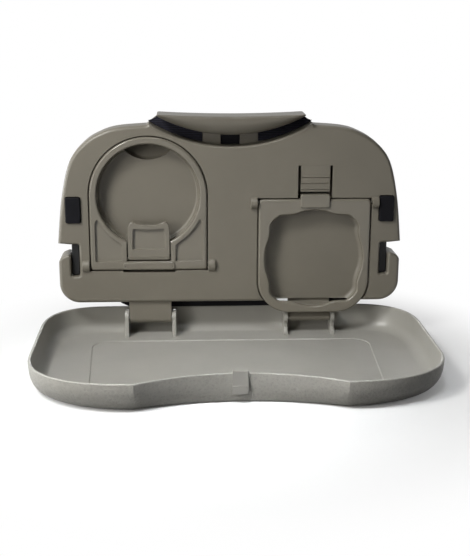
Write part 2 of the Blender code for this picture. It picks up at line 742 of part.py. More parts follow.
def opening_outline(grow=0):
    """The wavy opening that grips cups of several sizes."""
    wide = HOLDER_OPENING_WIDTH / 2
    tall = HOLDER_OPENING_HEIGHT / 2
    quarter = [(0, tall)] + [(wide * x, tall * z) for x, z in OPENING_QUARTER_SHARES] + [(wide, 0)]
    quarter = smooth(quarter, 2)
    right = quarter + [(x, -z) for x, z in reversed(quarter[:-1])]
    middle = HOLDER_TOP - HOLDER_TOP_RAIL - tall
    return inset([(HOLDER_X + x, middle + z) for x, z in both_sides(right)], -grow)


def scoop_outline():
    """Finger scoop behind the top of the ring: an arc below a straight top."""
    centre_z = RING_Z + SCOOP_REACH + SCOOP_RADIUS
    top = RING_Z + SCOOP_TOP
    sweep = math.degrees(math.acos((centre_z - top) / SCOOP_RADIUS))
    return arc((RING_X, centre_z), SCOOP_RADIUS, 270 - sweep, 270 + sweep, 12)


def recess_floors():
    """Each recess of the face: its outline, its depth behind the face and the outline of its tub."""
    clip_half = CLIP_WIDTH / 2 + CLIP_SLOT
    cam_half = CAM_WIDTH / 2 + RUNNING_GAP
    cam_low = HOLDER_AXIS_Z - CAM_RISE - RUNNING_GAP
    cam_high = HOLDER_AXIS_Z + CAM_RISE + CLIP_GAP
    cam = [(HOLDER_X - cam_half, cam_low), (HOLDER_X + cam_half, cam_low)]
    cam += [(HOLDER_X + cam_half, cam_high), (HOLDER_X - cam_half, cam_high)]
    clip = [(HOLDER_X - clip_half, HOLDER_TOP), (HOLDER_X + clip_half, HOLDER_TOP)]
    clip += [(HOLDER_X + clip_half, PANEL_BOTTOM + CLIP_TOP), (HOLDER_X - clip_half, PANEL_BOTTOM + CLIP_TOP)]
    pad_half = RING_PAD_HALF
    pad_low = RING_AXIS_Z - RING_BAR_RADIUS - RING_PAD_PROUD - RING_RECESS_GAP
    pad = [(RING_X - pad_half, pad_low), (RING_X + pad_half, pad_low)]
    pad += [(RING_X + pad_half, RING_AXIS_Z), (RING_X - pad_half, RING_AXIS_Z)]
    cam_depth = HOLDER_AXIS_Y - FACE_Y + CAM_RISE + CAM_PROUD + HOLDER_THICKNESS / 2
    return {
        "ring": (ring_outline(RING_RECESS_GAP), RING_RECESS_DEPTH),
        "pad": (pad, RING_RECESS_DEPTH),
        "scoop": (scoop_outline(), SCOOP_DEPTH),
        "holder": (holder_outline(HOLDER_RECESS_GAP), HOLDER_RECESS_DEPTH),
        "holder_bowl": (opening_outline(HOLDER_BOWL_GROWTH), HOLDER_BOWL_DEPTH),
        "cam": (cam, cam_depth),
        "clip": (clip, CLIP_THICKNESS + CLIP_TRAVEL),
    }


def boss_profile(axis_y, axis_z, radius):
    """Half-round hinge boss standing out of the face."""
    back = FACE_Y + PANEL_WALL / 2
    reach = math.degrees(math.asin((back - axis_y) / radius))
    return arc((axis_y, axis_z), radius, 90 - reach, 270 + reach, 10)


def boss_places():
    """Axis, radius and X range of the four bosses that carry the folding cup holders."""
    for side in (-1, 1):
        start = RING_X + side * (RING_OUTER_RADIUS + RING_RECESS_GAP)
        end = start + side * RING_BOSS_LENGTH
        yield RING_AXIS_Y, RING_AXIS_Z, RING_BOSS_RADIUS, min(start, end), max(start, end)
    for side in (-1, 1):
        start = HOLDER_X + side * (HOLDER_WIDTH / 2 + HOLDER_RECESS_GAP)
        end = start + side * HOLDER_BOSS_LENGTH
        yield HOLDER_AXIS_Y, HOLDER_AXIS_Z, HOLDER_BOSS_RADIUS, min(start, end), max(start, end)


def cover_screw_places():
    """X and Z of the screws that hold the rear cover to the front shell."""
    top = PANEL_TOP - COVER_SCREW_TOP_DROP
    low = PANEL_BOTTOM + COVER_SCREW_LOW_RISE
    places = [(side * COVER_SCREW_TOP_X, top) for side in (-1, 1)]
    places += [(side * COVER_SCREW_LOW_X, low) for side in (-1, 1)]
    return places + [(0, low), (0, PANEL_BOTTOM + COVER_SCREW_MID_RISE)]


def grip_screw_places():
    return [(side * GRIP_SCREW_X, PANEL_TOP + GRIP_TOP_RISE - GRIP_SCREW_DROP) for side in (-1, 1)]


def bumper_outline(side, grow=0):
    outer = HALF_PANEL - BUMPER_SIDE_MARGIN
    low = (outer - BUMPER_WIDTH - grow, PANEL_BOTTOM + BUMPER_BOTTOM - grow)
    high = (outer + grow, PANEL_BOTTOM + BUMPER_BOTTOM + BUMPER_HEIGHT + grow)
    outline = rounded_box(low, high, BUMPER_ROUNDING + grow, 2)
    return outline if side > 0 else mirrored(outline)


def bowl(name, grow):
    """Round bowl behind the cup ring, narrower at its floor."""
    front = FACE_Y + RING_RECESS_DEPTH - OVERRUN / 4
    back = FACE_Y + BOWL_DEPTH + grow
    rings = []
    for y, radius in ((front, BOWL_RADIUS), (front + (back - front) / 2, BOWL_RADIUS), (back, BOWL_FLOOR_RADIUS)):
        outline = circle((RING_X, RING_Z), radius + grow, BIG_ROUND_SIDES)
        rings.append([(x, y, z) for x, z in outline])
    return loft(name, rings)


def shell_cavity():
    """Hollow inside the front shell, open to the rear, less the tubs, blocks and screw bosses that stand in it."""
    start = FACE_Y + PANEL_WALL
    hollow = slab("cavity", inset(panel_outline(), PANEL_WALL), start, SHELL_BACK_Y + OVERRUN)
    for name, (outline, depth) in recess_floors().items():
        tub = slab(name, inset(outline, -PANEL_WALL), start - OVERRUN, FACE_Y + depth + PANEL_WALL)
        if name != "clip":
            cut(hollow, tub)
        else:
            bpy.data.objects.remove(tub, do_unlink=True)
    cut(hollow, bowl("bowl", PANEL_WALL))
    groove = slab("groove", inset(groove_outline(), -PANEL_WALL), start - OVERRUN, GROOVE_FLOOR_Y + PANEL_WALL)
    cut(hollow, groove)
    for side in (-1, 1):
        low = (SLOT_INNER_X - PANEL_WALL, start - OVERRUN, PANEL_BOTTOM + SLOT_BOTTOM - PANEL_WALL * 2)
        high = (HALF_PANEL + OVERRUN, SHELL_BACK_Y + OVERRUN * 2, PANEL_BOTTOM + SLOT_TOP + PANEL_WALL)
        if side < 0:
            low, high = (-high[0], low[1], low[2]), (-low[0], high[1], high[2])
        cut(hollow, box("hook_block", low, high))
        seat = slab("bumper_block", bumper_outline(side, PANEL_WALL), start - OVERRUN, FACE_Y + BUMPER_SEAT + PANEL_WALL)
        cut(hollow, seat)
    for x, z in cover_screw_places():
        boss = circle((x, z), COVER_BOSS_RADIUS)
        cut(hollow, slab("boss", boss, start - OVERRUN, SHELL_BACK_Y + OVERRUN * 2))
    return hollow


def build_back_panel():
    """Front shell: face, side walls, recesses, groove, notches, bosses and hinge slots."""
    shell = upright(
        "back_panel",
        panel_outline(),
        (
            (FACE_Y, PANEL_EDGE),
            (FACE_Y + PANEL_EDGE * 0.13, PANEL_EDGE * 0.5),
            (FACE_Y + PANEL_EDGE * 0.5, PANEL_EDGE * 0.13),
            (FACE_Y + PANEL_EDGE, 0),
            (SHELL_BACK_Y, 0),
        ),
    )
    cut(shell, shell_cavity())
    for y, z, radius, left, right in boss_places():
        join(shell, across("boss", boss_profile(y, z, radius), left, right))
    for name, (outline, depth) in recess_floors().items():
        cut(shell, slab(name, outline, FACE_Y - OVERRUN * 2, FACE_Y + depth))
    cut(shell, bowl("bowl", 0))
    lip = (
        (FACE_Y - OVERRUN, -GROOVE_LIP),
        (FACE_Y, -GROOVE_LIP),
        (FACE_Y + GROOVE_LIP * 0.13, -GROOVE_LIP * 0.5),
        (FACE_Y + GROOVE_LIP * 0.5, -GROOVE_LIP * 0.13),
        (FACE_Y + GROOVE_LIP, 0),
        (GROOVE_FLOOR_Y, 0),
    )
    cut(shell, upright("groove", groove_outline(), lip))
    for side in (-1, 1):
        inner, outer = sorted((side * CATCH_HALF_WIDTH, side * BRIDGE_END_X))
        low = (inner, GROOVE_FLOOR_Y - BRIDGE_HEIGHT, GROOVE_LOW - PANEL_WALL / 2)
        high = (outer, GROOVE_FLOOR_Y + PANEL_WALL / 2, GRIP_LOW - FIT_GAP)
        join(shell, box("bridge", low, high))
    catch = rounded_box((-CATCH_HALF_WIDTH, GROOVE_LOW), (CATCH_HALF_WIDTH, GRIP_LOW), SLOT_ROUNDING / 4, 1)
    cut(shell, slab("catch_window", catch, GROOVE_FLOOR_Y - OVERRUN / 2, SHELL_BACK_Y + OVERRUN))
    for outline in (notch_outline(), mirrored(notch_outline())):
        cut(shell, slab("notch", outline, FACE_Y - OVERRUN, SHELL_BACK_Y + OVERRUN))
    for side in (-1, 1):
        seat = slab("bumper_seat", bumper_outline(side, FIT_GAP), FACE_Y - OVERRUN, FACE_Y + BUMPER_SEAT)
        cut(shell, seat)
    for x, z in cover_screw_places():
        bore = circle((x, z), SCREW_BORE_RADIUS)
        cut(shell, slab("bore", bore, COVER_BACK_Y - SCREW_REACH - FIT_GAP, SHELL_BACK_Y + OVERRUN))
    for x, z in grip_screw_places():
        bore = circle((x, z), SCREW_BORE_RADIUS)
        cut(shell, slab("bore", bore, GROOVE_FLOOR_Y - OVERRUN / 2, SHELL_BACK_Y + OVERRUN))
    for side, front, plate in ((-1, 0, LEAF_PLATE), (1, LEAF_CRANK, CRANKED_PLATE)):
        middle = side * HINGE_SPACING / 2
        half = LEAF_WIDTH / 2 + RUNNING_GAP
        start = AXIS_Y - BARREL_RADIUS + front - RUNNING_GAP
        low = (middle - half, start, PANEL_BOTTOM - OVERRUN)
        high = (middle + half, start + plate + 2 * RUNNING_GAP, PANEL_BOTTOM + PANEL_WALL + OVERRUN / 4)
        cut(shell, box("leaf_slot", low, high))
    for y, z, left, right in stub_places():
        cut(shell, across("bore", circle((y, z), STUB_RADIUS + PIN_GAP), left - FIT_GAP, right + FIT_GAP))
    place(shell, "beige_abs", (0, FACE_Y, PANEL_BOTTOM))


def build_rear_cover():
    cover = edged("rear_cover", inset(panel_outline(), FIT_GAP), COVER_FRONT_Y, COVER_BACK_Y, COVER_THICKNESS / 4)
    back = COVER_BACK_Y + OVERRUN
    for outline in (notch_outline(), mirrored(notch_outline())):
        cut(cover, slab("notch", outline, COVER_FRONT_Y - OVERRUN, back))
    places = cover_screw_places() + grip_screw_places() + leaf_screw_places(-1) + leaf_screw_places(1)
    places += [(side * ANCHOR_X, HEADREST_STRAP_Z) for side in (-1, 1)]
    for x, z in places:
        cut(cover, slab("bore", circle((x, z), SCREW_BORE_RADIUS), COVER_FRONT_Y - OVERRUN, back))
    place(cover, "beige_abs", (0, COVER_BACK_Y, PANEL_BOTTOM))


def grip_half():
    """Right half of the grip's front view: a shallow top above a long arc."""
    steps = 7
    end = GRIP_HALF_LENGTH
    lift = GRIP_LOW - GROOVE_LOW
    top = [(end * i / steps, grip_top(end * i / steps)) for i in range(steps)]
    low = [(end * i / steps, groove_low(end * i / steps) + lift) for i in range(steps)]
    tip_top = grip_top(end)
    tip_low = groove_low(end) + lift - GRIP_END_ROUNDING
    tip = [(end - GRIP_END_ROUNDING / 2, tip_top), (end, tip_top - GRIP_END_ROUNDING / 2)]
    tip += [(end, tip_low + GRIP_END_ROUNDING / 2), (end - GRIP_END_ROUNDING / 2, tip_low)]
    return top + tip + list(reversed(low))


def build_hand_grip():
    """Crescent grip over the groove, with a pillowed front."""
    half = grip_half()
    outline = both_sides(half)
    front = FACE_Y - GRIP_PROUD
    back = GROOVE_FLOOR_Y - FIT_GAP
    depth = back - front
    rings = [[(x, back, z) for x, z in outline]]
    for depth_share, height_share in GRIP_PILLOW_SHARES:
        ring = []
        for x, z in outline:
            spine = (grip_top(x) + groove_low(x) + GRIP_LOW - GROOVE_LOW) / 2
            length_share = 1 - (1 - height_share) / 12
            ring.append((x * length_share, front + depth * depth_share, spine + (z - spine) * height_share))
        rings.append(ring)
    grip = loft("hand_grip", rings)
    for x, z in grip_screw_places():
        bore = circle((x, z), SCREW_BORE_RADIUS)
        cut(grip, slab("bore", bore, COVER_BACK_Y - 2 * SCREW_REACH, back + OVERRUN))
    for side in (-1, 1):
        relief = slab("relief", liner_outline(side, FIT_GAP), back - LINER_THICKNESS - FIT_GAP, back + OVERRUN)
        cut(grip, relief)
    place(grip, "beige_abs", (0, back, GRIP_LOW))


def liner_outline(side, grow=0):
    """Woven strip along one arm of the groove, cut off at the panel's top edge."""
    start = BRIDGE_END_X + RUNNING_GAP - grow
    end = GROOVE_HALF_SPAN - 2 * RUNNING_GAP + grow
    steps = 9
    low = []
    high = []
    for i in range(steps + 1):
        x = start + (end - start) * i / steps
        foot = groove_low(x) + RUNNING_GAP
        top = min(foot + GROOVE_WIDTH, panel_top_edge(x))
        low.append((x, foot - grow))
        high.append((x, max(top, foot + RUNNING_GAP) + grow))
    outline = low + list(reversed(high))
    return outline if side > 0 else mirrored(outline)


def panel_top_edge(x):
    """Height of the panel's own top edge between the grip's end and the groove's end."""
    top = grip_top(GRIP_HALF_LENGTH) - GRIP_TOP_RISE / 3
    end_x = HALF_PANEL * PANEL_SIDE_SHARES[0][0]
    share = max(0, (x - GRIP_HALF_LENGTH) / (end_x - GRIP_HALF_LENGTH))
    return top + (PANEL_TOP - top) * share - RUNNING_GAP


def build_groove_liners():
    for name, side in (("left", -1), ("right", 1)):
        back = GROOVE_FLOOR_Y - FIT_GAP
        liner = slab("groove_liner_" + name, liner_outline(side), back - LINER_THICKNESS, back)
        place(liner, "black_webbing", (side * GRIP_HALF_LENGTH, back, GRIP_LOW))


def stub_places():
    """Axis and X range of the steel stubs that carry the ring and the holder."""
    for side in (-1, 1):
        inner = RING_X + side * (RING_OUTER_RADIUS - STUB_BITE)
        outer = RING_X + side * (RING_OUTER_RADIUS + RING_RECESS_GAP + RING_BOSS_LENGTH * 0.8)
        yield RING_AXIS_Y, RING_AXIS_Z, min(inner, outer), max(inner, outer)
    for side in (-1, 1):
        inner = HOLDER_X + side * (HOLDER_WIDTH / 2 - STUB_BITE)
        outer = HOLDER_X + side * (HOLDER_WIDTH / 2 + HOLDER_RECESS_GAP + HOLDER_BOSS_LENGTH * 0.8)
        yield HOLDER_AXIS_Y, HOLDER_AXIS_Z, min(inner, outer), max(inner, outer)


def build_stub_pins():
    names = ("ring_pin_left", "ring_pin_right", "holder_pin_left", "holder_pin_right")
    for name, (y, z, left, right) in zip(names, stub_places()):
        pin = across(name, circle((y, z), STUB_RADIUS), left, right)
        place(pin, "zinc_steel", ((left + right) / 2, y, z))


def gusset_outline(side):
    """Triangle between the ring, its neck wall and its side wall, which a thin web closes."""
    inner = RING_NECK_WIDTH / 2 + RING_NECK_WALL
    outer = RING_OUTER_RADIUS - RING_SIDE_WALL
    low = RING_AXIS_Z + RING_BAR_RADIUS + RUNNING_GAP
    reach = RING_INNER_RADIUS + RING_NECK_WALL
    neck_top = PANEL_BOTTOM + RING_GUSSET_NECK_TOP
    side_top = PANEL_BOTTOM + RING_GUSSET_TOP
    points = [(inner, low), (outer, low), (outer, side_top)]
    steps = 4
    for i in range(1, steps):
        x = outer + (inner - outer) * i / steps
        points.append((x, RING_Z - math.sqrt(max(reach**2 - x * x, 0))))
    points.append((inner, neck_top))
    return [(RING_X + side * x, z) for x, z in points]


def build_cup_ring():
    """Folding ring with its neck, gussets and hinge bar."""
    ring = edged("cup_ring", ring_outline(), RING_FRONT_Y, RING_BACK_Y, RING_EDGE)
    inner = circle((RING_X, RING_Z), RING_INNER_RADIUS, BIG_ROUND_SIDES)
    cut(ring, slab("cup_opening", inner, RING_FRONT_Y - OVERRUN, RING_BACK_Y + OVERRUN))
    half = RING_NECK_WIDTH / 2
    low = (RING_X - half, RING_FRONT_Y - OVERRUN, RING_AXIS_Z + RING_BAR_RADIUS + RUNNING_GAP)
    high = (RING_X + half, RING_BACK_Y + OVERRUN, RING_Z)
    cut(ring, box("neck", low, high))
    web_front = RING_FRONT_Y + RING_GUSSET_DEPTH
    for side in (-1, 1):
        cut(ring, slab("gusset", gusset_outline(side), RING_FRONT_Y - OVERRUN, web_front))
        cut(ring, slab("gusset", gusset_outline(side), web_front + RING_GUSSET_WEB, RING_BACK_Y + OVERRUN))
    pad_low = (RING_X - RING_PAD_HALF + RUNNING_GAP, RING_FRONT_Y - RING_PAD_PROUD, RING_AXIS_Z - RING_BAR_RADIUS * 0.8)
    pad_high = (RING_X + RING_PAD_HALF - RUNNING_GAP, RING_FRONT_Y + RING_EDGE * 2, RING_AXIS_Z + RING_BAR_RADIUS)
    join(ring, box("pad", pad_low, pad_high))
    for y, z, left, right in list(stub_places())[:2]:
        cut(ring, across("bore", circle((y, z), STUB_RADIUS + PIN_GAP), left - FIT_GAP, right + FIT_GAP))
    pin = circle((RING_AXIS_Y, TONGUE_AXIS_Z), TONGUE_PIN_RADIUS + PIN_GAP)
    reach = RING_NECK_WIDTH / 2 + RING_NECK_WALL * 0.7
    cut(ring, across("bore", pin, RING_X - reach, RING_X + reach))
    place(ring, "beige_abs", (RING_X, RING_AXIS_Y, RING_AXIS_Z))


def build_cup_tongue():
    """Flap with two lobes, a dipped top and a shallow pan."""
    half = TONGUE_WIDTH / 2
    top = PANEL_BOTTOM + TONGUE_TOP
    low = PANEL_BOTTOM + TONGUE_BOTTOM
    lobe = TONGUE_WIDTH / 8
    crest = [(half - lobe / 4, low), (half, low + lobe / 4), (half, top - lobe * 1.5), (half - lobe / 3, top - lobe / 3)]
    crest += [(half - lobe, top), (half - lobe * 1.7, top - TONGUE_DIP * 0.55), (half / 3, top - TONGUE_DIP * 0.94)]
    right = [(0, low)] + crest + [(0, top - TONGUE_DIP)]
    outline = [(RING_X + x, z) for x, z in both_sides(right)]
    front = RING_FRONT_Y + TONGUE_SETBACK
    back = front + TONGUE_THICKNESS
    tongue = edged("cup_tongue", outline, front, back, TONGUE_EDGE)
    pan_half = TONGUE_PAN_WIDTH / 2
    pan_low = PANEL_BOTTOM + TONGUE_PAN_BOTTOM
    pan_top = PANEL_BOTTOM + TONGUE_PAN_TOP
    pan = [(0, pan_low), (pan_half, pan_low), (pan_half * 0.96, pan_top)]
    pan += [(pan_half / 2, pan_top - TONGUE_DIP / 4), (0, pan_top - TONGUE_DIP / 3)]
    pan = [(RING_X + x, z) for x, z in both_sides(pan)]
    cut(tongue, slab("pan", pan, front - OVERRUN, front + TONGUE_PAN_DEPTH))
    bore = circle((RING_AXIS_Y, TONGUE_AXIS_Z), TONGUE_PIN_RADIUS + PIN_GAP)
    barrel = circle((RING_AXIS_Y, TONGUE_AXIS_Z), TONGUE_AXIS_RISE - TONGUE_BOTTOM - FIT_GAP)
    join(tongue, across("barrel", barrel, RING_X - half + TONGUE_EDGE, RING_X + half - TONGUE_EDGE))
    cut(tongue, across("bore", bore, RING_X - half - OVERRUN, RING_X + half + OVERRUN))
    place(tongue, "beige_abs", (RING_X, RING_AXIS_Y, TONGUE_AXIS_Z))
    reach = RING_NECK_WIDTH / 2 + RING_NECK_WALL * 0.7 - FIT_GAP
    pin = across("tongue_pin", circle((RING_AXIS_Y, TONGUE_AXIS_Z), TONGUE_PIN_RADIUS), RING_X - reach, RING_X + reach)
    place(pin, "zinc_steel", (RING_X, RING_AXIS_Y, TONGUE_AXIS_Z))


def build_cup_holder():
    """Hinged frame with the wavy opening and, at its top bar, the cam block that the clip holds."""
    frame = edged("cup_holder", holder_outline(), HOLDER_FRONT_Y, HOLDER_BACK_Y, HOLDER_EDGE)
    opening = upright(
        "opening",
        opening_outline(),
        (
            (HOLDER_FRONT_Y - HOLDER_EDGE, -2 * HOLDER_EDGE),
            (HOLDER_FRONT_Y + HOLDER_EDGE, 0),
            (HOLDER_BACK_Y + OVERRUN, 0),
        ),
    )
    cut(frame, opening)
    half = CAM_WIDTH / 2
    low = (HOLDER_X - half, HOLDER_FRONT_Y - CAM_PROUD, HOLDER_AXIS_Z - CAM_DROP)
    high = (HOLDER_X + half, HOLDER_BACK_Y, HOLDER_AXIS_Z + CAM_RISE)
    join(frame, box("cam", low, high))
    for y, z, left, right in list(stub_places())[2:]:
        cut(frame, across("bore", circle((y, z), STUB_RADIUS + PIN_GAP), left - FIT_GAP, right + FIT_GAP))
    place(frame, "beige_abs", (HOLDER_X, HOLDER_AXIS_Y, HOLDER_AXIS_Z))


def build_release_clip():
    """Spring tongue with grip ribs, rooted at its top, that holds the cup holder's cam block."""
    half = CLIP_WIDTH / 2
    top = PANEL_BOTTOM + CLIP_TOP - FIT_GAP
    low = HOLDER_AXIS_Z + CAM_RISE + CLIP_GAP
    front = FACE_Y
    profile = [(front, top), (front + CLIP_THICKNESS, top), (front + CLIP_THICKNESS, low), (front, low)]
    for i in range(CLIP_RIBS):
        start = low + CLIP_RIB_HEIGHT + i * CLIP_RIB_PITCH
        profile += [(front, start), (front - CLIP_RIB_PROUD, start + CLIP_RIB_PROUD)]
        profile += [(front - CLIP_RIB_PROUD, start + CLIP_RIB_HEIGHT - CLIP_RIB_PROUD / 2)]
        profile.append((front, start + CLIP_RIB_HEIGHT))
    clip = across("release_clip", profile, HOLDER_X - half, HOLDER_X + half)
    place(clip, "beige_abs", (HOLDER_X, front + CLIP_THICKNESS / 2, top))


def build_bumpers():
    for name, side in (("left", -1), ("right", 1)):
        front = FACE_Y - BUMPER_PROUD
        back = FACE_Y + BUMPER_SEAT - FIT_GAP
        bumper = edged("bumper_" + name, bumper_outline(side), front, back, BUMPER_ROUNDING / 2)
        place(bumper, "black_rubber", (side * HALF_PANEL, FACE_Y, PANEL_BOTTOM + BUMPER_BOTTOM))


def build_stop_strip():
    """Rubber strip under the panel, which the tray's rear rim rests against when it is open."""
    low = (-STOP_HALF_LENGTH, SHELL_BACK_Y - STOP_DEPTH + COVER_THICKNESS / 2, TRAY_HEIGHT + FIT_GAP)
    high = (STOP_HALF_LENGTH, SHELL_BACK_Y + COVER_THICKNESS / 2, PANEL_BOTTOM - FIT_GAP)
    place(box("stop_strip", low, high), "black_rubber", (0, SHELL_BACK_Y, PANEL_BOTTOM))


def turned(name, x, z, profile):
    """A round piece about an axis along Y, from (y, radius) steps."""
    rings = [[(px, y, pz) for px, pz in circle((x, z), radius, 12)] for y, radius in profile]
    return loft(name, rings)


def build_screw(name, x, z, seat, tip):
    crown = seat + SCREW_HEAD_HEIGHT
    profile = (
        (tip, SCREW_RADIUS / 2),
        (tip + SCREW_RADIUS, SCREW_RADIUS),
        (seat, SCREW_RADIUS),
        (seat, SCREW_HEAD_RADIUS),
        (seat + SCREW_HEAD_HEIGHT / 2, SCREW_HEAD_RADIUS),
        (crown, SCREW_HEAD_RADIUS * 0.7),
    )
    screw = turned(name, x, z, profile)
    cross = SCREW_HEAD_RADIUS / 2
    slot = SCREW_HEAD_RADIUS / 10
    deep = crown - SCREW_HEAD_HEIGHT / 2
    cut(screw, box("slot", (x - cross, deep, z - slot), (x + cross, crown + OVERRUN, z + slot)))
    cut(screw, box("slot", (x - slot, deep, z - cross), (x + slot, crown + OVERRUN, z + cross)))
    place(screw, "zinc_steel", (x, seat, z))


def build_screws():
    seat = COVER_BACK_Y + FIT_GAP
    groups = (
        ("cover_screw", cover_screw_places(), seat, COVER_BACK_Y - SCREW_REACH + FIT_GAP),
        ("grip_screw", grip_screw_places(), seat, COVER_BACK_Y - 2 * SCREW_REACH + FIT_GAP),
        ("leaf_screw", leaf_screw_places(-1) + leaf_screw_places(1), seat, COVER_BACK_Y - SCREW_REACH + FIT_GAP),
    )
    for name, places, head, tip in groups:
        for number, (x, z) in enumerate(places, 1):
            build_screw(f"{name}_{number}", x, z, head, tip)
    anchor_seat = STRAP_Y + WEBBING + ANCHOR_PLATE + 2 * FIT_GAP
    for name, side in (("left", -1), ("right", 1)):
        build_screw("anchor_screw_" + name, side * ANCHOR_X, HEADREST_STRAP_Z, anchor_seat, COVER_FRONT_Y - FIT_GAP)


def build_headrest_strap():
    """Webbing across the top of the rear, clamped at each end under a screwed plate."""
    half = HEADREST_STRAP_WIDTH / 2
    low = (-HEADREST_STRAP_HALF, STRAP_Y, HEADREST_STRAP_Z - half)
    high = (HEADREST_STRAP_HALF, STRAP_Y + WEBBING, HEADREST_STRAP_Z + half)
    strap = box("headrest_strap", low, high)
    for side in (-1, 1):
        bore = circle((side * ANCHOR_X, HEADREST_STRAP_Z), SCREW_BORE_RADIUS)
        cut(strap, slab("bore", bore, STRAP_Y - OVERRUN, STRAP_Y + OVERRUN))
    place(strap, "black_webbing", (0, STRAP_Y, HEADREST_STRAP_Z))
    for name, side in (("left", -1), ("right", 1)):
        middle = side * ANCHOR_X
        reach = half + RUNNING_GAP
        plate_y = STRAP_Y + WEBBING + FIT_GAP
        low = (middle - ANCHOR_WIDTH / 2, COVER_BACK_Y + FIT_GAP, HEADREST_STRAP_Z - reach - ANCHOR_WALL)
        high = (middle + ANCHOR_WIDTH / 2, plate_y + ANCHOR_PLATE, HEADREST_STRAP_Z + reach + ANCHOR_WALL)
        anchor = box("strap_anchor_" + name, low, high)
        under_low = (low[0] - OVERRUN, low[1] - OVERRUN, HEADREST_STRAP_Z - reach)
        under_high = (high[0] + OVERRUN, plate_y, HEADREST_STRAP_Z + reach)
        cut(anchor, box("under", under_low, under_high))
        bore = circle((middle, HEADREST_STRAP_Z), SCREW_BORE_RADIUS)
        cut(anchor, slab("bore", bore, plate_y - OVERRUN, plate_y + OVERRUN))
        place(anchor, "black_nylon", (middle, plate_y, HEADREST_STRAP_Z))


def build_seat_strap():
    """Webbing across the lower rear, its ends fixed to plastic hooks that sit in the side notches."""
    half = SEAT_STRAP_WIDTH / 2
    hook_low = SLOT_INNER_X + FIT_GAP * 2
    end = hook_low - FIT_GAP
    low = (-end, STRAP_Y, SEAT_STRAP_Z - half)
    high = (end, STRAP_Y + WEBBING, SEAT_STRAP_Z + half)
    place(box("seat_strap", low, high), "black_webbing", (0, STRAP_Y, SEAT_STRAP_Z))
    tall = (SLOT_TOP - SLOT_BOTTOM) / 2 - RUNNING_GAP
    for name, side in (("left", -1), ("right", 1)):
        plate_y = STRAP_Y + WEBBING + FIT_GAP
        hook_high = SLOT_INNER_X + SLOT_WIDTH - FIT_GAP * 2
        front = FACE_Y + HOOK_FRONT_DEPTH
        back = plate_y + HOOK_PLATE
        plan = [(hook_low, front), (hook_high, front), (hook_high, COVER_BACK_Y + FIT_GAP)]
        plan += [(hook_high + HOOK_PLATE_OUTER, COVER_BACK_Y + FIT_GAP), (hook_high + HOOK_PLATE_OUTER, back)]
        plan += [(hook_low - HOOK_PLATE_INNER, back), (hook_low - HOOK_PLATE_INNER, plate_y), (hook_low, plate_y)]
        rings = []
        for level, edge in ((-tall, RUNNING_GAP), (RUNNING_GAP - tall, 0), (tall - RUNNING_GAP, 0), (tall, RUNNING_GAP)):
            rings.append([(side * x, y, SEAT_STRAP_Z + level) for x, y in inset(plan, edge)])
        place(loft("strap_hook_" + name, rings), "black_nylon", (side * hook_low, plate_y, SEAT_STRAP_Z))
    inner = (half + RUNNING_GAP, STRAP_Y - FIT_GAP, STRAP_Y + WEBBING + FIT_GAP)
    wall = SLIDER_WALL
    low = (SLIDER_X, COVER_BACK_Y + FIT_GAP, SEAT_STRAP_Z - inner[0] - wall)
    high = (SLIDER_X + SLIDER_WIDTH, inner[2] + wall, SEAT_STRAP_Z + inner[0] + wall)
    slider = box("strap_slider", low, high)
    under_low = (low[0] - OVERRUN, inner[1], SEAT_STRAP_Z - inner[0])
    under_high = (high[0] + OVERRUN, inner[2], SEAT_STRAP_Z + inner[0])
    cut(slider, box("under", under_low, under_high))
    place(slider, "black_nylon", (SLIDER_X, STRAP_Y, SEAT_STRAP_Z))


def build_seat_pads():
    for name, side in (("left", -1), ("right", 1)):
        middle = side * PAD_X
        low = (middle - PAD_WIDTH / 2, PANEL_BOTTOM + PAD_RISE)
        high = (middle + PAD_WIDTH / 2, PANEL_BOTTOM + PAD_RISE + PAD_HEIGHT)
        front = COVER_BACK_Y + FIT_GAP
        outline = rounded_box(low, high, PAD_ROUNDING)
        pad = edged("seat_pad_" + name, outline, front, front + PAD_THICKNESS, PAD_THICKNESS / 5)
        place(pad, "grey_foam", (middle, front, low[1]))


def main():
    clear_scene()
    build_tray()
    build_latch_tab()
    build_hinge("left", -1, False)
    build_hinge("right", 1, True)
    build_back_panel()
    build_rear_cover()
    build_hand_grip()
    build_groove_liners()
    build_stub_pins()
    build_cup_ring()
    build_cup_tongue()
    build_cup_holder()
    build_release_clip()
    build_bumpers()
    build_stop_strip()
    build_screws()
    build_headrest_strap()
    build_seat_strap()
    build_seat_pads()


main()
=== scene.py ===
"""Looks of the car seat tray table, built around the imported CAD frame.

Lengths are in metres, X right, Y back, Z up.
"""

import math

import bmesh
import bpy
from mathutils import Matrix, Vector


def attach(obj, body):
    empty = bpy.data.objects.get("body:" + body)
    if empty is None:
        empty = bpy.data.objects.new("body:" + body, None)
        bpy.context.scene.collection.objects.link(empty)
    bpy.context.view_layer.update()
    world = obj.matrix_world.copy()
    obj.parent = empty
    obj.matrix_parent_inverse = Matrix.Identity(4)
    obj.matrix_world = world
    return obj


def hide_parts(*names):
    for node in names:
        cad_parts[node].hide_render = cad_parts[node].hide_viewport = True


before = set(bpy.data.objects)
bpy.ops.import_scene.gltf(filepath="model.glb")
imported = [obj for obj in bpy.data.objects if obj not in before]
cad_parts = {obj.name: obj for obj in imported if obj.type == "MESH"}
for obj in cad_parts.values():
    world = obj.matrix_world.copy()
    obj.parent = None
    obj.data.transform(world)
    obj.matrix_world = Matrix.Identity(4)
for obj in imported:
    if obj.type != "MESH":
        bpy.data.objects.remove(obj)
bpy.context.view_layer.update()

# Roundings, gaps and cutters that many pieces share
FINEST_EDGE = 0.0002
FINE_EDGE = 0.0003
SMALL_EDGE = 0.0004
EDGE = 0.0005
SOFT_EDGE = 0.0006
BACK_EDGE = 0.0008
BIG_CORNER = 0.0012
FIT_GAP = 0.0003
RUNNING_GAP = 0.0006
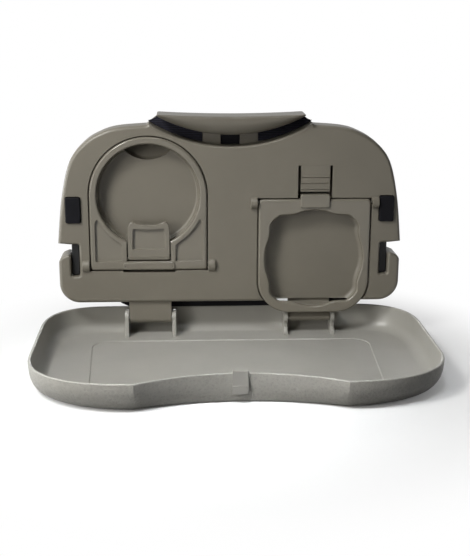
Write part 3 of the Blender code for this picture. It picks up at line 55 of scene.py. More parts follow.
OVERLAP = 0.001
CUTTER_REACH = 0.004
ROUND_SIDES = 28
SIDES = (("left", -1), ("right", 1))

# Tray
TRAY_WIDTH = 0.3508
TRAY_DEPTH = 0.2115
TRAY_HEIGHT = 0.026
TRAY_WALL = 0.0024
TRAY_FLOOR = 0.0026
REAR_CORNER_WIDTH = 0.063
REAR_CORNER_DEPTH = 0.065
REAR_CORNER_POWER = 2.6
LOBE_DEPTH = 0.071
RIM_LOBE_POWER = 2.3
BASE_LOBE_POWER = 2.0
FRONT_CORNER_SPACING = 0.170
SCALLOP_DEPTH = 0.022
BASE_SIDE_INSET = 0.0045
BASE_REAR_INSET = 0.0035
BASE_LOBE_INSET = 0.0115
BASE_SCALLOP_INSET = 0.003
WALL_BEND_POWER = 2.5
WALL_LEVEL_SHARES = (0.08, 0.12, 0.18, 0.25, 0.33, 0.42, 0.52, 0.65, 0.8)
RIM_ROUNDING = 0.0011
BASE_ROUNDING = 0.0016
FLOOR_FILLET = 0.008
WELL_DEPTH = 0.0008
WELL_WIDTH = 0.2600
WELL_FRONT_WIDTH = 0.2500
WELL_REAR_MARGIN = 0.0375
WELL_FRONT_MARGIN = 0.014
WELL_CORNER_RADIUS = 0.017
WELL_LEVELS = ((-1, 0.0012), (-0.8, 0.0005), (-0.25, 0), (0.1, -0.0003), (1, -0.0006))

# Hinge
HINGE_SETBACK = 0.0155
HINGE_HEIGHT = 0.0190
HINGE_SPACING = 0.1526
BARREL_RADIUS = 0.005
HINGE_PIN_RADIUS = 0.0016
LEAF_WIDTH = 0.0402
EAR_THICKNESS = 0.0038
EAR_RADIUS = 0.007
EAR_FRONT_ANGLE = 192
EAR_NECK = 0.0033
EAR_FOOT_REACH = 0.0110
EAR_FOOT_HEIGHT = 0.002
EAR_FOOT_TOP = 0.0052
EAR_WEB_ANGLE = 50
LEAF_PLATE = 0.008
LEAF_CRANK = 0.0103
CRANKED_PLATE = 0.0042
LEAF_RISE = 0.0235

# Back panel
PANEL_WIDTH = 0.3224
PANEL_HEIGHT = 0.1677
PANEL_LIFT = 0.0108
SKIRT_DROP = 0.0008
PANEL_NEST = 0.0083
PANEL_DEPTH = 0.022
PANEL_EDGE = 0.0035
SHELL_EDGE = 0.0008
RECESS_FOOT = 0.0008
PANEL_CORNER_RADIUS = 0.019
COVER_THICKNESS = 0.003
PANEL_SIDE_SHARES = (
    (0.478, 0.997),
    (0.642, 0.984),
    (0.737, 0.957),
    (0.831, 0.903),
    (0.919, 0.797),
    (0.971, 0.597),
    (1.0, 0.346),
)

# Groove and grip
GROOVE_RADIUS = 0.1435
GROOVE_DROP = 0.0204
GROOVE_HALF_SPAN = 0.077
GROOVE_WIDTH = 0.0113
GROOVE_DEPTH = 0.018
GROOVE_LIP = 0.0025
GROOVE_FOOT = 0.0012
GRIP_HALF_LENGTH = 0.0675
GRIP_TOP_RISE = 0.0103
GRIP_TOP_DIP = 0.0020
GRIP_PROUD = 0.010
GRIP_END_ROUNDING = 0.0026
GRIP_TIP_SHARE = 0.55
GRIP_SHARES = (
    (1.0, 1.0),
    (0.55, 1.0),
    (0.17, 1.0),
    (0.075, 0.985),
    (0.03, 0.95),
    (0.005, 0.885),
    (0.0, 0.80),
    (0.012, 0.64),
    (0.04, 0.48),
    (0.085, 0.32),
    (0.14, 0.18),
    (0.20, 0.075),
    (0.27, 0.015),
    (0.36, 0.0),
    (1.0, 0.0),
)
CATCH_HALF_WIDTH = 0.009
BRIDGE_WIDTH = 0.0165
BRIDGE_HEIGHT = 0.0012
# Depths behind the groove floor of a black sheet that stands for the shade in the catch window.
CATCH_SHADE_SHEET_DEPTHS = (0.0004, 0.0012)
LINER_THICKNESS = 0.0016

# Side notches
SLOT_INNER_MARGIN = 0.0196
SLOT_WIDTH = 0.0082
SLOT_BOTTOM = 0.0252
SLOT_TOP = 0.0562
MOUTH_HEIGHT = 0.0078
MOUTH_FLARE = 0.0015
LIP_DROP = 0.0095
SLOT_ROUNDING = 0.002
NOTCH_TIP_RADIUS = 0.0028
NOTCH_LIP = 0.0023
PRONG_DROP = 0.0024
PRONG_SIDE = ((0.0, LIP_DROP), (0.0012, 0.0067), (0.0032, 0.0044))

# Bumpers
BUMPER_WIDTH = 0.0136
BUMPER_HEIGHT = 0.0242
BUMPER_SIDE_MARGIN = 0.0082
BUMPER_BOTTOM = 0.077
BUMPER_SEAT = 0.003
BUMPER_PROUD = 0.0024
BUMPER_ROUNDING = 0.0015
BOSS_SIDE_GAP = 0.0005

# Cup ring
RING_RISE = 0.1022
RING_OUTER_RADIUS = 0.0545
RING_WALL = 0.0067
RING_THICKNESS = 0.0065
RING_PROUD = 0.001
RING_AXIS_RISE = 0.0353
RING_BAR_RADIUS = 0.0039
RING_NECK_WIDTH = 0.041
RING_NECK_WALL = 0.0046
RING_SIDE_WALL = 0.0047
RING_GUSSET_TOP = 0.0762
RING_GUSSET_NECK_TOP = 0.055
RING_GUSSET_DEPTH = 0.0024
RING_GUSSET_WEB = 0.0017
RING_RECESS_GAP = 0.0009
RING_RECESS_DEPTH = 0.0072
RING_PAD_HALF = 0.0248
RING_PAD_PROUD = 0.0013
RING_PAD_ROUNDING = 0.0023
RING_BOSS_LENGTH = 0.0068
RING_BOSS_RADIUS = 0.0060
BOSS_ROOT = 0.002
RING_EDGE = 0.0021
RING_INNER_EDGE = 0.0018
RING_CORNER = 0.0032
RING_NECK_CORNER = 0.001
RING_PAD_SHARE = 0.8
DIMPLE_RADIUS = 0.0007
DIMPLE_DEPTH = 0.0006
BOWL_STEP = 0.0006
BOWL_SLOPE = 0.003
BOWL_WALL = 0.001
BOWL_DEPTH = 0.0125
SCOOP_RADIUS = 0.0305
SCOOP_REACH = 0.0318
SCOOP_TOP = 0.0475
SCOOP_DEPTH = 0.0165
SCOOP_TILT = 0.25
SCOOP_EDGE = 0.0007
SCOOP_FOOT = 0.0025

# Tongue
TONGUE_WIDTH = 0.0392
TONGUE_TOP = 0.0779
TONGUE_DIP = 0.0034
TONGUE_BOTTOM = 0.0411
TONGUE_AXIS_RISE = 0.0446
TONGUE_THICKNESS = 0.0042
TONGUE_SETBACK = 0.0004
TONGUE_PAN_WIDTH = 0.0305
TONGUE_PAN_BOTTOM = 0.0513
TONGUE_PAN_TOP = 0.0712
TONGUE_PAN_DEPTH = 0.0026
TONGUE_EDGE = 0.0009
TONGUE_CORNER = 0.0035
TONGUE_DIP_SHARES = (0.55, 0.94)
TONGUE_PAN_CORNER = 0.0015

# Cup holder
HOLDER_WIDTH = 0.1054
HOLDER_AXIS_RISE = 0.0949
HOLDER_TOP_MARGIN = 0.0033
HOLDER_LENGTH = 0.1102
HOLDER_CORNER_RADIUS = 0.031
HOLDER_THICKNESS = 0.0046
HOLDER_PROUD = 0.0018
HOLDER_EDGE = 0.0021
HOLDER_INNER_EDGE = 0.0019
HOLDER_TOP_CORNER = 0.0045
HOLDER_SIDE_RAIL = 0.006
HOLDER_TOP_RAIL = 0.0101
HOLDER_FOOT_RAIL = 0.0061
OPENING_QUARTER_SHARES = (
    (0.20, 0.972),
    (0.40, 0.910),
    (0.56, 0.893),
    (0.69, 0.885),
    (0.78, 0.825),
    (0.862, 0.735),
    (0.892, 0.650),
    (0.892, 0.520),
    (0.925, 0.370),
    (0.975, 0.210),
)
HOLDER_RECESS_GAP = 0.0009
HOLDER_RECESS_DEPTH = 0.0056
HOLDER_BOWL_GROWTH = 0.0015
HOLDER_BOWL_DEPTH = 0.0104
HOLDER_BOWL_FOOT = 0.0045
HOLDER_BOSS_LENGTH = 0.0066
HOLDER_BOSS_RADIUS = 0.0056
CAM_WIDTH = 0.0276
CAM_RISE = 0.0082
CAM_DROP = 0.0046
CAM_PROUD = 0.0016
CAM_EDGE = 0.0011
CAM_POCKET_DEPTH = 0.0118

# Release clip
CLIP_WIDTH = 0.0274
CLIP_TOP = 0.1297
CLIP_GAP = 0.0022
CLIP_SLOT = 0.0023
CLIP_SLOT_WEB = 0.0025
CLIP_SLOT_ROUNDING = CLIP_SLOT * 0.45
CLIP_WEB = 0.002
CLIP_THICKNESS = 0.0022
CLIP_RIBS = 3
CLIP_RIB_PITCH = 0.0056
CLIP_RIB_HEIGHT = 0.0018
CLIP_RIB_PROUD = 0.0008

# Latch tab
TAB_WIDTH = 0.0128
TAB_THICKNESS = 0.0010
TAB_RISE = 0.0023
TAB_FOOT = 0.0083
TAB_WEDGE_TOP = 0.0155
TAB_WEDGE_PROUD = 0.0003
TAB_EDGE = 0.00025
TAB_CORNER = 0.00045
TAB_LIP_DEPTH = 0.004

# Straps, hooks and pads
WEBBING = 0.0014
WEBBING_DIP = WEBBING * 0.14
SELVEDGE = 0.0012
SELVEDGE_ROLL = SELVEDGE * 0.4
STITCH_PITCH = 0.0031
STITCH_HALF_LENGTH = STITCH_PITCH * 0.36
STITCH_RADIUS = 0.00042
SEAT_STITCH_PLACES = (0.0175, 0.021)
HEADREST_STITCH_PLACES = (0.003, 0.0065)
SEAT_STRAP_WIDTH = 0.030
STRAP_STANDOFF = 0.0018
HOOK_FRONT_DEPTH = 0.006
HOOK_EDGE = 0.0007
HOOK_RIB_SHARES = (0.85, 0.67, 0.49, 0.31)
RIB_CUT = 0.0004
HOOK_PLATE = 0.0018
HOOK_PLATE_INNER = 0.014
HOOK_PLATE_OUTER = 0.0065
HOOK_RIB_WIDTH = HOOK_PLATE_INNER * 0.06
HOOK_RIB_REACH = 0.8
SLIDER_X = 0.060
SLIDER_WIDTH = 0.009
SLIDER_WALL = 0.0016
SLIDER_RIB_MARGIN = 0.002
HEADREST_STRAP_WIDTH = 0.025
HEADREST_STRAP_HALF = 0.101
HEADREST_STRAP_DROP = 0.0225
ANCHOR_X = 0.094
ANCHOR_WIDTH = 0.018
ANCHOR_PLATE = 0.0018
ANCHOR_WALL = 0.002
SCREW_BORE_RADIUS = 0.0018
PAD_WIDTH = 0.066
PAD_HEIGHT = 0.044
PAD_THICKNESS = 0.0075
PAD_X = 0.072
PAD_RISE = 0.074
PAD_ROUNDING = 0.006
PAD_POINT_SPACING = 0.0012
PAD_SHARES = (
    (0.0, 0.94, 0.0),
    (0.0, 0.97, 0.0),
    (0.10, 0.992, 0.002),
    (0.22, 1.0, 0.004),
    (0.30, 0.985, 0.006),
    (0.36, 0.990, 0.004),
    (0.52, 0.980, 0.003),
    (0.68, 0.945, 0.002),
    (0.80, 0.89, 0.0015),
    (0.89, 0.80, 0.001),
    (0.95, 0.66, 0.0),
    (0.985, 0.45, 0.0),
    (1.0, 0.2, 0.0),
)
STOP_LEFT_END = -0.106
STOP_LEFT_TAPER = 0.010
STOP_SLIT_START = 0.0395
STOP_RIGHT_START = 0.0965
STOP_RIGHT_END = 0.1160
STOP_DEPTH = 0.0052
STOP_CORNER = 0.0009

# Colours
ABS = (0.172, 0.157, 0.126)
# The tray's colour is the panel's beige made lighter and bluer: painted sheen and light on the same beige
# ABS.
TRAY_ABS_PAINTED_SHEEN = (0.330, 0.320, 0.290)
BLACK = (0.005, 0.005, 0.007)

# Render
CAMERA_PLACE = (-0.0475, -0.8670, 0.3212)
CAMERA_YAW = -3.118
CAMERA_PITCH = 15.398
CAMERA_ROLL = 0.270
FOCAL_PIXELS = 1039.1
LONG_SIDE_PIXELS = 556
SENSOR_MM = 36.0
WORLD_LIGHT = 0.022
BRIGHT_SIDE = (-0.45, 0.80, 0.40)
DIM_SIDE = 0.03
BRIGHT_LEVEL = 0.75
ROOM_FADE = (-0.4, 0.7)
FLOOR_SEEN = 0.93
FLOOR_BOUNCE = 0.11
FLOOR_FADE = (0.12, 0.32)
FLOOR_REACH = 30.0
FLOOR_DROP = 0.0002

# Each light's name, place, target, size, power, colour and spread in degrees
LIGHTS = (
    ("key", (-0.46, -0.34, 0.70), (0, 0.05, 0.09), 0.24, 5.2, (0.99, 0.99, 0.97), 180),
    ("low_left", (-0.72, -0.60, 0.46), (0, 0.05, 0.09), 0.40, 3.0, (1.0, 0.985, 0.95), 180),
    ("front", (-0.95, -0.70, 0.13), (0, 0, 0.05), 0.35, 2.8, (1.0, 0.985, 0.97), 180),
    ("edge", (-0.85, 0.20, 0.17), (-0.02, 0.08, 0.10), 0.24, 3.2, (0.92, 0.96, 1.0), 180),
    ("right_back", (0.80, 0.75, 0.22), (0, 0.05, 0.08), 0.40, 0.9, (1.0, 1.0, 1.0), 180),
    ("over_tray", (0.0, -0.34, 0.80), (0.0, -0.07, 0), 0.20, 0.17, (0.93, 0.96, 1.0), 34),
    ("behind", (0.0, 1.20, 0.10), (0, 0.10, 0.08), 0.20, 4.0, (1.0, 1.0, 1.0), 180),
)

# Places
REAR_Y = TRAY_DEPTH / 2
FRONT_Y = -TRAY_DEPTH / 2
AXIS_Y = REAR_Y - HINGE_SETBACK
AXIS_Z = HINGE_HEIGHT
FACE_Y = AXIS_Y - PANEL_NEST
SHELL_BACK_Y = FACE_Y + PANEL_DEPTH
COVER_FRONT_Y = SHELL_BACK_Y + FIT_GAP
COVER_BACK_Y = COVER_FRONT_Y + COVER_THICKNESS
PANEL_BOTTOM = TRAY_HEIGHT + PANEL_LIFT
PANEL_TOP = PANEL_BOTTOM + PANEL_HEIGHT
GROOVE_LOW = PANEL_TOP - GROOVE_DROP
GROOVE_CENTRE_Z = GROOVE_LOW + GROOVE_RADIUS
GRIP_LOW = GROOVE_LOW + GROOVE_WIDTH
SHOULDER_Z = PANEL_TOP + GRIP_TOP_RISE - GRIP_TOP_RISE / 3
GROOVE_FLOOR_Y = FACE_Y + GROOVE_DEPTH
HALF_PANEL = PANEL_WIDTH / 2
BOSS_END_X = HALF_PANEL - BUMPER_SIDE_MARGIN - BUMPER_WIDTH - BOSS_SIDE_GAP
RING_X = RING_OUTER_RADIUS + RING_RECESS_GAP + RING_BOSS_LENGTH - BOSS_END_X
HOLDER_X = BOSS_END_X - HOLDER_BOSS_LENGTH - HOLDER_RECESS_GAP - HOLDER_WIDTH / 2
RING_INNER_RADIUS = RING_OUTER_RADIUS - RING_WALL
BOWL_RADIUS = RING_INNER_RADIUS - BOWL_STEP
RING_Z = PANEL_BOTTOM + RING_RISE
RING_AXIS_Z = PANEL_BOTTOM + RING_AXIS_RISE
RING_FRONT_Y = FACE_Y - RING_PROUD
RING_BACK_Y = RING_FRONT_Y + RING_THICKNESS
RING_AXIS_Y = (RING_FRONT_Y + RING_BACK_Y) / 2
HOLDER_AXIS_Z = PANEL_BOTTOM + HOLDER_AXIS_RISE
HOLDER_FRONT_Y = FACE_Y - HOLDER_PROUD
HOLDER_BACK_Y = HOLDER_FRONT_Y + HOLDER_THICKNESS
HOLDER_AXIS_Y = (HOLDER_FRONT_Y + HOLDER_BACK_Y) / 2
HOLDER_TOP = HOLDER_AXIS_Z + HOLDER_TOP_MARGIN
HOLDER_OPENING_WIDTH = HOLDER_WIDTH - 2 * HOLDER_SIDE_RAIL
HOLDER_OPENING_HEIGHT = HOLDER_LENGTH - HOLDER_TOP_RAIL - HOLDER_FOOT_RAIL
TONGUE_AXIS_Z = PANEL_BOTTOM + TONGUE_AXIS_RISE
SLOT_INNER_X = HALF_PANEL - SLOT_INNER_MARGIN
STRAP_Y = COVER_BACK_Y + STRAP_STANDOFF
STRAP_BACK_Y = STRAP_Y + WEBBING
SEAT_STRAP_Z = PANEL_BOTTOM + (SLOT_BOTTOM + SLOT_TOP) / 2
HEADREST_STRAP_Z = PANEL_TOP - HEADREST_STRAP_DROP
BRIDGE_END_X = CATCH_HALF_WIDTH + BRIDGE_WIDTH
SCALLOP_RADIUS = ((FRONT_CORNER_SPACING / 2) ** 2 + SCALLOP_DEPTH**2) / (2 * SCALLOP_DEPTH)


class Nodes:
    """The node tree of a material or world, with short calls that add and join its nodes."""

    def __init__(self, owner):
        owner.use_nodes = True
        self.owner = owner
        self.tree = owner.node_tree
        self.shader = self.tree.nodes.get("Principled BSDF")
        self.place = self.add("ShaderNodeTexCoord").outputs["Object"]

    def add(self, kind, **values):
        node = self.tree.nodes.new(kind)
        for key, value in values.items():
            setattr(node, key, value)
        return node

    def join(self, source, target):
        self.tree.links.new(source, target)

    def put(self, value, socket):
        if isinstance(value, (int, float)):
            socket.default_value = value
        else:
            self.join(value, socket)

    def fill(self, node, values):
        for name, value in values.items():
            node.inputs[name].default_value = value

    def texture(self, kind, output, inputs, place=None, **values):
        node = self.add(kind, **values)
        self.fill(node, inputs)
        self.join(self.place if place is None else place, node.inputs["Vector"])
        return node.outputs[output]

    def noise(self, scale, detail=3.0, place=None):
        return self.texture("ShaderNodeTexNoise", "Fac", {"Scale": scale, "Detail": detail}, place)

    def cells(self, scale, feature="F1"):
        return self.texture("ShaderNodeTexVoronoi", "Distance", {"Scale": scale}, feature=feature)

    def bands(self, axis, period):
        """Rounded ribs across one axis, from 0 to 1, with this period."""
        inputs = {"Scale": math.tau / 20 / period, "Distortion": 0}
        return self.texture("ShaderNodeTexWave", "Fac", inputs, wave_type="BANDS", bands_direction=axis)

    def math(self, operation, first, second):
        node = self.add("ShaderNodeMath", operation=operation)
        self.put(first, node.inputs[0])
        self.put(second, node.inputs[1])
        return node.outputs["Value"]

    def between(self, value, low, high):
        """Maps 0 to 1 onto this range."""
        node = self.add("ShaderNodeMapRange")
        for name, given in (("Value", value), ("To Min", low), ("To Max", high)):
            self.put(given, node.inputs[name])
        return node.outputs["Result"]

    def tint(self, value, dark, light):
        ramp = self.add("ShaderNodeValToRGB")
        for element, colour, position in zip(ramp.color_ramp.elements, (dark, light), (0.3, 0.7)):
            element.color = (*colour, 1)
            element.position = position
        self.join(value, ramp.inputs["Fac"])
        self.join(ramp.outputs["Color"], self.shader.inputs["Base Color"])

    def bump(self, height, distance):
        node = self.add("ShaderNodeBump")
        self.fill(node, {"Distance": distance})
        self.join(height, node.inputs["Height"])
        self.join(node.outputs["Normal"], self.shader.inputs["Normal"])

    def rough(self, value, low, high):
        self.join(self.between(value, low, high), self.shader.inputs["Roughness"])


def shade(colour, factor):
    return tuple(channel * factor for channel in colour)


def new_finish(name):
    return Nodes(bpy.data.materials.new(name))


def plastic(name, colour, roughness, grain, grain_depth):
    """Moulded plastic: a very slight cloudiness, and a fine spark-eroded grain."""
    made = new_finish(name)
    made.tint(made.noise(28.0, 4.0), shade(colour, 0.96), shade(colour, 1.04))
    made.rough(made.noise(grain / 3, 2.0), roughness - 0.05, roughness + 0.05)
    made.bump(made.noise(grain, 2.0), grain_depth)
    return made.owner


def grained_plastic(name, colour, roughness):
    """Moulded plastic with a coarser leather-like grain: shallow cells with soft walls between them."""
    made = new_finish(name)
    cells = made.cells(430.0, "SMOOTH_F1")
    pores = made.math("MULTIPLY", made.noise(1100.0), 0.7)
    height = made.math("ADD", made.math("MULTIPLY", cells, 0.7), pores)
    made.tint(height, shade(colour, 0.86), shade(colour, 1.06))
    made.rough(cells, roughness + 0.06, roughness - 0.06)
    made.bump(height, 0.00045)
    return made.owner


def rubber(name, colour):
    made = new_finish(name)
    made.fill(made.shader, {"Specular IOR Level": 0.15})
    made.tint(made.noise(60.0, 4.0), shade(colour, 0.8), shade(colour, 1.25))
    made.rough(made.noise(400.0, 2.0), 0.5, 0.68)
    made.bump(made.noise(2200.0, 2.0), 0.00005)
    return made.owner


def webbing(name, colour, period, light):
    """Woven strap along X: ribs along its length, crossed by the weft. Its colour runs from dark in the
    weave's hollows to light on its crossings, as painted shade and painted highlight.
    """
    made = new_finish(name)
    weft = made.bands("X", period * 0.7)
    woven = made.math("MULTIPLY", made.bands("Z", period), made.between(weft, 0.45, 1.0))
    fuzz = made.noise(3000.0, 2.0)
    height = made.math("ADD", woven, made.math("MULTIPLY", fuzz, 0.3))
    # Painted shade in the weave's hollows, and a painted highlight on its crossings of up to light times the
    # colour.
    made.tint(height, shade(colour, 0.5), shade(colour, light))
    made.rough(fuzz, 0.78, 0.95)
    made.bump(height, 0.00035)
    made.fill(made.shader, {"Specular IOR Level": 0.2, "Sheen Weight": 0.08, "Sheen Roughness": 0.5})
    return made.owner


def foam(name, colour):
    made = new_finish(name)
    cells = made.cells(1300.0)
    made.tint(cells, shade(colour, 0.7), shade(colour, 1.3))
    made.rough(cells, 0.9, 0.98)
    made.bump(cells, 0.0002)
    return made.owner


def steel(name, colour, roughness):
    made = new_finish(name)
    drawn = made.texture("ShaderNodeMapping", "Vector", {"Scale": (0.15, 1, 1)})
    streaks = made.noise(900.0, 3.0, drawn)
    made.tint(streaks, shade(colour, 0.88), shade(colour, 1.05))
    made.rough(streaks, roughness, roughness + 0.14)
    made.bump(streaks, 0.00002)
    made.fill(made.shader, {"Metallic": 1.0})
    return made.owner


PANEL_FINISH = plastic("beige_panel", ABS, 0.40, 1400.0, 0.00004)
# The ring and the tongue are the panel's beige painted 1.04 lighter: painted light on the same moulding
# plastic.
RING_FINISH_PAINTED_LIGHT = plastic("beige_ring_painted_light", shade(ABS, 1.04), 0.20, 1400.0, 0.00002)
# The holder is the panel's beige painted 1.08 lighter: painted light on the same moulding plastic.
HOLDER_FINISH_PAINTED_LIGHT = plastic("beige_holder_painted_light", shade(ABS, 1.08), 0.20, 1400.0, 0.00002)
# The grip is the panel's beige painted 0.88 darker: painted shade on its downturned face.
GRIP_FINISH_PAINTED_SHADE = plastic("beige_grip_painted_shade", shade(ABS, 0.88), 0.36, 1400.0, 0.00005)
# The tray's inside and the latch tab carry that painted sheen.
TRAY_FINISH_PAINTED_SHEEN = plastic("tray_inside_painted_sheen", TRAY_ABS_PAINTED_SHEEN, 0.33, 1100.0, 0.00003)
# The tray's grained outside is painted a further 1.12 lighter: painted light on its walls.
TRAY_GRAIN_PAINTED_LIGHT = grained_plastic("tray_outside_painted_light", shade(TRAY_ABS_PAINTED_SHEEN, 1.12), 0.5)
COVER_FINISH = grained_plastic("beige_cover", ABS, 0.52)
RUBBER_FINISH = rubber("black_rubber_bumper", BLACK)
NYLON_FINISH = plastic("black_nylon_part", (0.004, 0.004, 0.005), 0.55, 900.0, 0.00006)
# The strap and the groove strip get painted highlights on the weave's crossings, brighter on the groove
# strip.
STRAP_FINISH = webbing("black_strap", (0.016, 0.016, 0.02), 0.0013, 1.8)
LINER_FINISH = webbing("groove_strip", (0.012, 0.012, 0.018), 0.0016, 3.0)
FOAM_FINISH = foam("grey_pad", (0.05, 0.05, 0.053))
STEEL_FINISH = steel("zinc_plated", (0.55, 0.56, 0.58), 0.26)
# A near black steel for the stub pins that stands for the shade in the gaps beside the bosses: painted
# shade.
PIN_PAINTED_SHADE_FINISH = steel("dark_pin_painted_shade", (0.10, 0.095, 0.08), 0.6)


def new_object(name, mesh):
    obj = bpy.data.objects.new(name, mesh)
    bpy.context.scene.collection.objects.link(obj)
    return obj


def loft(name, rings, finishes=(), bands=()):
    """A closed solid through rings of points. bands gives each strip's finish by its number in finishes."""
    shape = bmesh.new()
    rows = [[shape.verts.new(point) for point in ring] for ring in rings]
    for number, (lower, upper) in enumerate(zip(rows, rows[1:])):
        for i in range(len(lower)):
            j = (i + 1) % len(lower)
            face = shape.faces.new((lower[i], lower[j], upper[j], upper[i]))
            if bands:
                face.material_index = bands[number]
    shape.faces.new(list(reversed(rows[0]))).material_index = bands[0] if bands else 0
    shape.faces.new(rows[-1])
    bmesh.ops.recalc_face_normals(shape, faces=shape.faces)
    mesh = bpy.data.meshes.new(name)
    shape.to_mesh(mesh)
    shape.free()
    for finish in finishes:
        mesh.materials.append(finish)
    return new_object(name, mesh)


def corners(outline):
    """Each point of a closed outline with its neighbours."""
    return zip(outline[-1:] + outline[:-1], outline, outline[1:] + outline[:1])


def inset(outline, distance):
    """The closed outline moved inwards by a distance, or outwards if it is negative."""
    if not distance:
        return list(outline)
    area = sum(a[0] * b[1] - b[0] * a[1] for a, b in zip(outline, outline[1:] + outline[:1]))
    side = 1 if area > 0 else -1
    moved = []
    for before, here, after in corners(outline):
        first = Vector((here[0] - before[0], here[1] - before[1])).normalized()
        second = Vector((after[0] - here[0], after[1] - here[1])).normalized()
        normals = [Vector((-run.y, run.x)) * side for run in (first, second)]
        middle = (normals[0] + normals[1]).normalized()
        reach = distance / max(middle.dot(normals[0]), 0.5)
        moved.append((here[0] + middle.x * reach, here[1] + middle.y * reach))
    return moved


def upright(name, outline, sections):
    """A solid whose outline lies in X and Z, lofted along Y through (y, inset) sections."""
    return loft(name, [[(x, y, z) for x, z in inset(outline, edge)] for y, edge in sections])


def sideways(name, profile, sections):
    """A solid whose profile lies in Y and Z, lofted along X through (x, inset) sections."""
    return loft(name, [[(x, y, z) for y, z in inset(profile, edge)] for x, edge in sections])


def quarter_turn(steps):
    return [math.radians(90) * i / steps for i in range(steps + 1)]


def lip(place, radius, steps, way=1, side=1):
    """(place, inset) sections of a rounding that starts at a face. side -1 rounds outwards."""
    turns = reversed(quarter_turn(steps))
    return [(place + way * radius * (1 - math.sin(t)), side * radius * (1 - math.cos(t))) for t in turns]


def root(place, radius, steps, way=-1, side=1):
    """The sections of lip in the other order: they end at the face."""
    return lip(place, radius, steps, way, side)[::-1]


def rounding(start, end, radius, steps=4, far=None):
    """Sections of a bar whose two ends are rounded over, the far one by its own radius if given."""
    return lip(start, radius, steps) + root(end, radius if far is None else far, steps)


def flared(front, back, radius, steps=4, far=None):
    """Sections of a through cutter that rounds over both edges of what it cuts."""
    far = radius if far is None else far
    first = [(front - CUTTER_REACH, -radius)] + lip(front, radius, steps, 1, -1)
    return first + root(back, far, steps, -1, -1) + [(back + CUTTER_REACH, -far)]


def pocket(depth, edge, foot, face, way=1, steps=4):
    """Sections of a cutter that sinks a recess into a face, with a rounded edge and foot."""
    sections = [(-CUTTER_REACH * 2, -edge)] + lip(0, edge, steps, 1, -1) + root(depth, foot, steps)
    return [(face + way * y, inwards) for y, inwards in sections]


def box(name, low, high, radius):
    """A block, with its edges along Y and round its faces rounded."""
    outline = rounded_box((low[0], low[2]), (high[0], high[2]), radius * 1.8)
    return upright(name, outline, rounding(low[1], high[1], radius, 3))


def plain_box(name, low, high):
    sides = ((low[0], low[2]), (high[0], low[2]), (high[0], high[2]), (low[0], high[2]))
    return upright(name, sides, ((low[1], 0), (high[1], 0)))


def circle(centre, radius, sides):
    turns = [math.tau * i / sides for i in range(sides)]
    return [(centre[0] + radius * math.cos(turn), centre[1] + radius * math.sin(turn)) for turn in turns]


def arc(centre, radius, start, end, steps):
    """Points from one angle to another, in degrees, both ends included."""
    turns = [math.radians(start + (end - start) * i / steps) for i in range(steps + 1)]
    return [(centre[0] + radius * math.cos(turn), centre[1] + radius * math.sin(turn)) for turn in turns]


def rounded_box(low, high, radius, steps=4):
    """A rectangle's outline with round corners."""
    right, left, top, foot = high[0] - radius, low[0] + radius, high[1] - radius, low[1] + radius
    points = []
    for i, centre in enumerate(((right, top), (left, top), (left, foot), (right, foot))):
        points += arc(centre, radius, 90 * i, 90 * i + 90, steps)
    return points


def softened(outline, radius, steps=4):
    """The closed outline with each sharp corner cut by an arc-like curve of about this radius."""
    result = []
    for before, here, after in corners(outline):
        here, back, ahead = Vector(here), Vector(before), Vector(after)
        into, out = (back - here), (ahead - here)
        turn = into.angle(out) if into.length and out.length else math.pi
        if turn > math.radians(155):
            result.append(tuple(here))
            continue
        reach = min(radius / math.tan(turn / 2), into.length * 0.45, out.length * 0.45)
        start, end = here + into.normalized() * reach, here + out.normalized() * reach
        for i in range(steps + 1):
            t = i / steps
            result.append(tuple(start * (1 - t) ** 2 + here * (2 * t * (1 - t)) + end * t**2))
    return result


def smooth(points, steps):
    """A Catmull-Rom curve through the points of an open run."""
    ends = [points[0]] + list(points) + [points[-1]]
    curve = []
    for run in zip(ends, ends[1:], ends[2:], ends[3:]):
        for i in range(steps):
            t = i / steps
            weights = (
                -t / 2 + t * t - t**3 / 2,
                1 - 2.5 * t * t + 1.5 * t**3,
                t / 2 + 2 * t * t - 1.5 * t**3,
                (t**3 - t * t) / 2,
            )
            curve.append(tuple(sum(w * v[k] for w, v in zip(weights, run)) for k in (0, 1)))
    return curve + [tuple(points[-1])]


def both_sides(half):
    """A closed outline from its right half, whose ends lie on the middle line."""
    return list(half) + mirrored(half[1:-1])


def mirrored(outline):
    return [(-x, z) for x, z in reversed(outline)]


def bake_modifiers(piece):
    graph = bpy.context.evaluated_depsgraph_get()
    result = bpy.data.meshes.new_from_object(piece.evaluated_get(graph))
    piece.modifiers.clear()
    used = piece.data
    piece.data = result
    bpy.data.meshes.remove(used)


def boolean(target, tool, operation):
    step = target.modifiers.new(operation.title(), "BOOLEAN")
    step.operation = operation
    step.object = tool
    bake_modifiers(target)
    bpy.data.objects.remove(tool, do_unlink=True)


def cut(target, tool):
    boolean(target, tool, "DIFFERENCE")


def join(target, tool):
    boolean(target, tool, "UNION")


def sink(piece, outline, *sizes, face=FACE_Y, way=1):
    """Cuts a recess with a rounded edge and foot. sizes are its depth, edge radius and foot radius."""
    cut(piece, upright("recess", outline, pocket(*sizes, face, way)))


def pierce(piece, outline, front, back, *sizes):
    """Cuts an opening along Y with rounded edges."""
    cut(piece, upright("opening", outline, flared(front, back, *sizes)))


def hinge_bore(piece, left, right):
    outline = circle((AXIS_Y, AXIS_Z), HINGE_PIN_RADIUS + FIT_GAP / 3, ROUND_SIDES)
    cut(piece, sideways("bore", outline, flared(left, right, FINEST_EDGE, 2)))


def add_mesh(target, extra):
    """Adds a separate closed form to a piece without cutting either."""
    shape = bmesh.new()
    shape.from_mesh(target.data)
    shape.from_mesh(extra.data)
    shape.to_mesh(target.data)
    shape.free()
    bpy.data.objects.remove(extra, do_unlink=True)


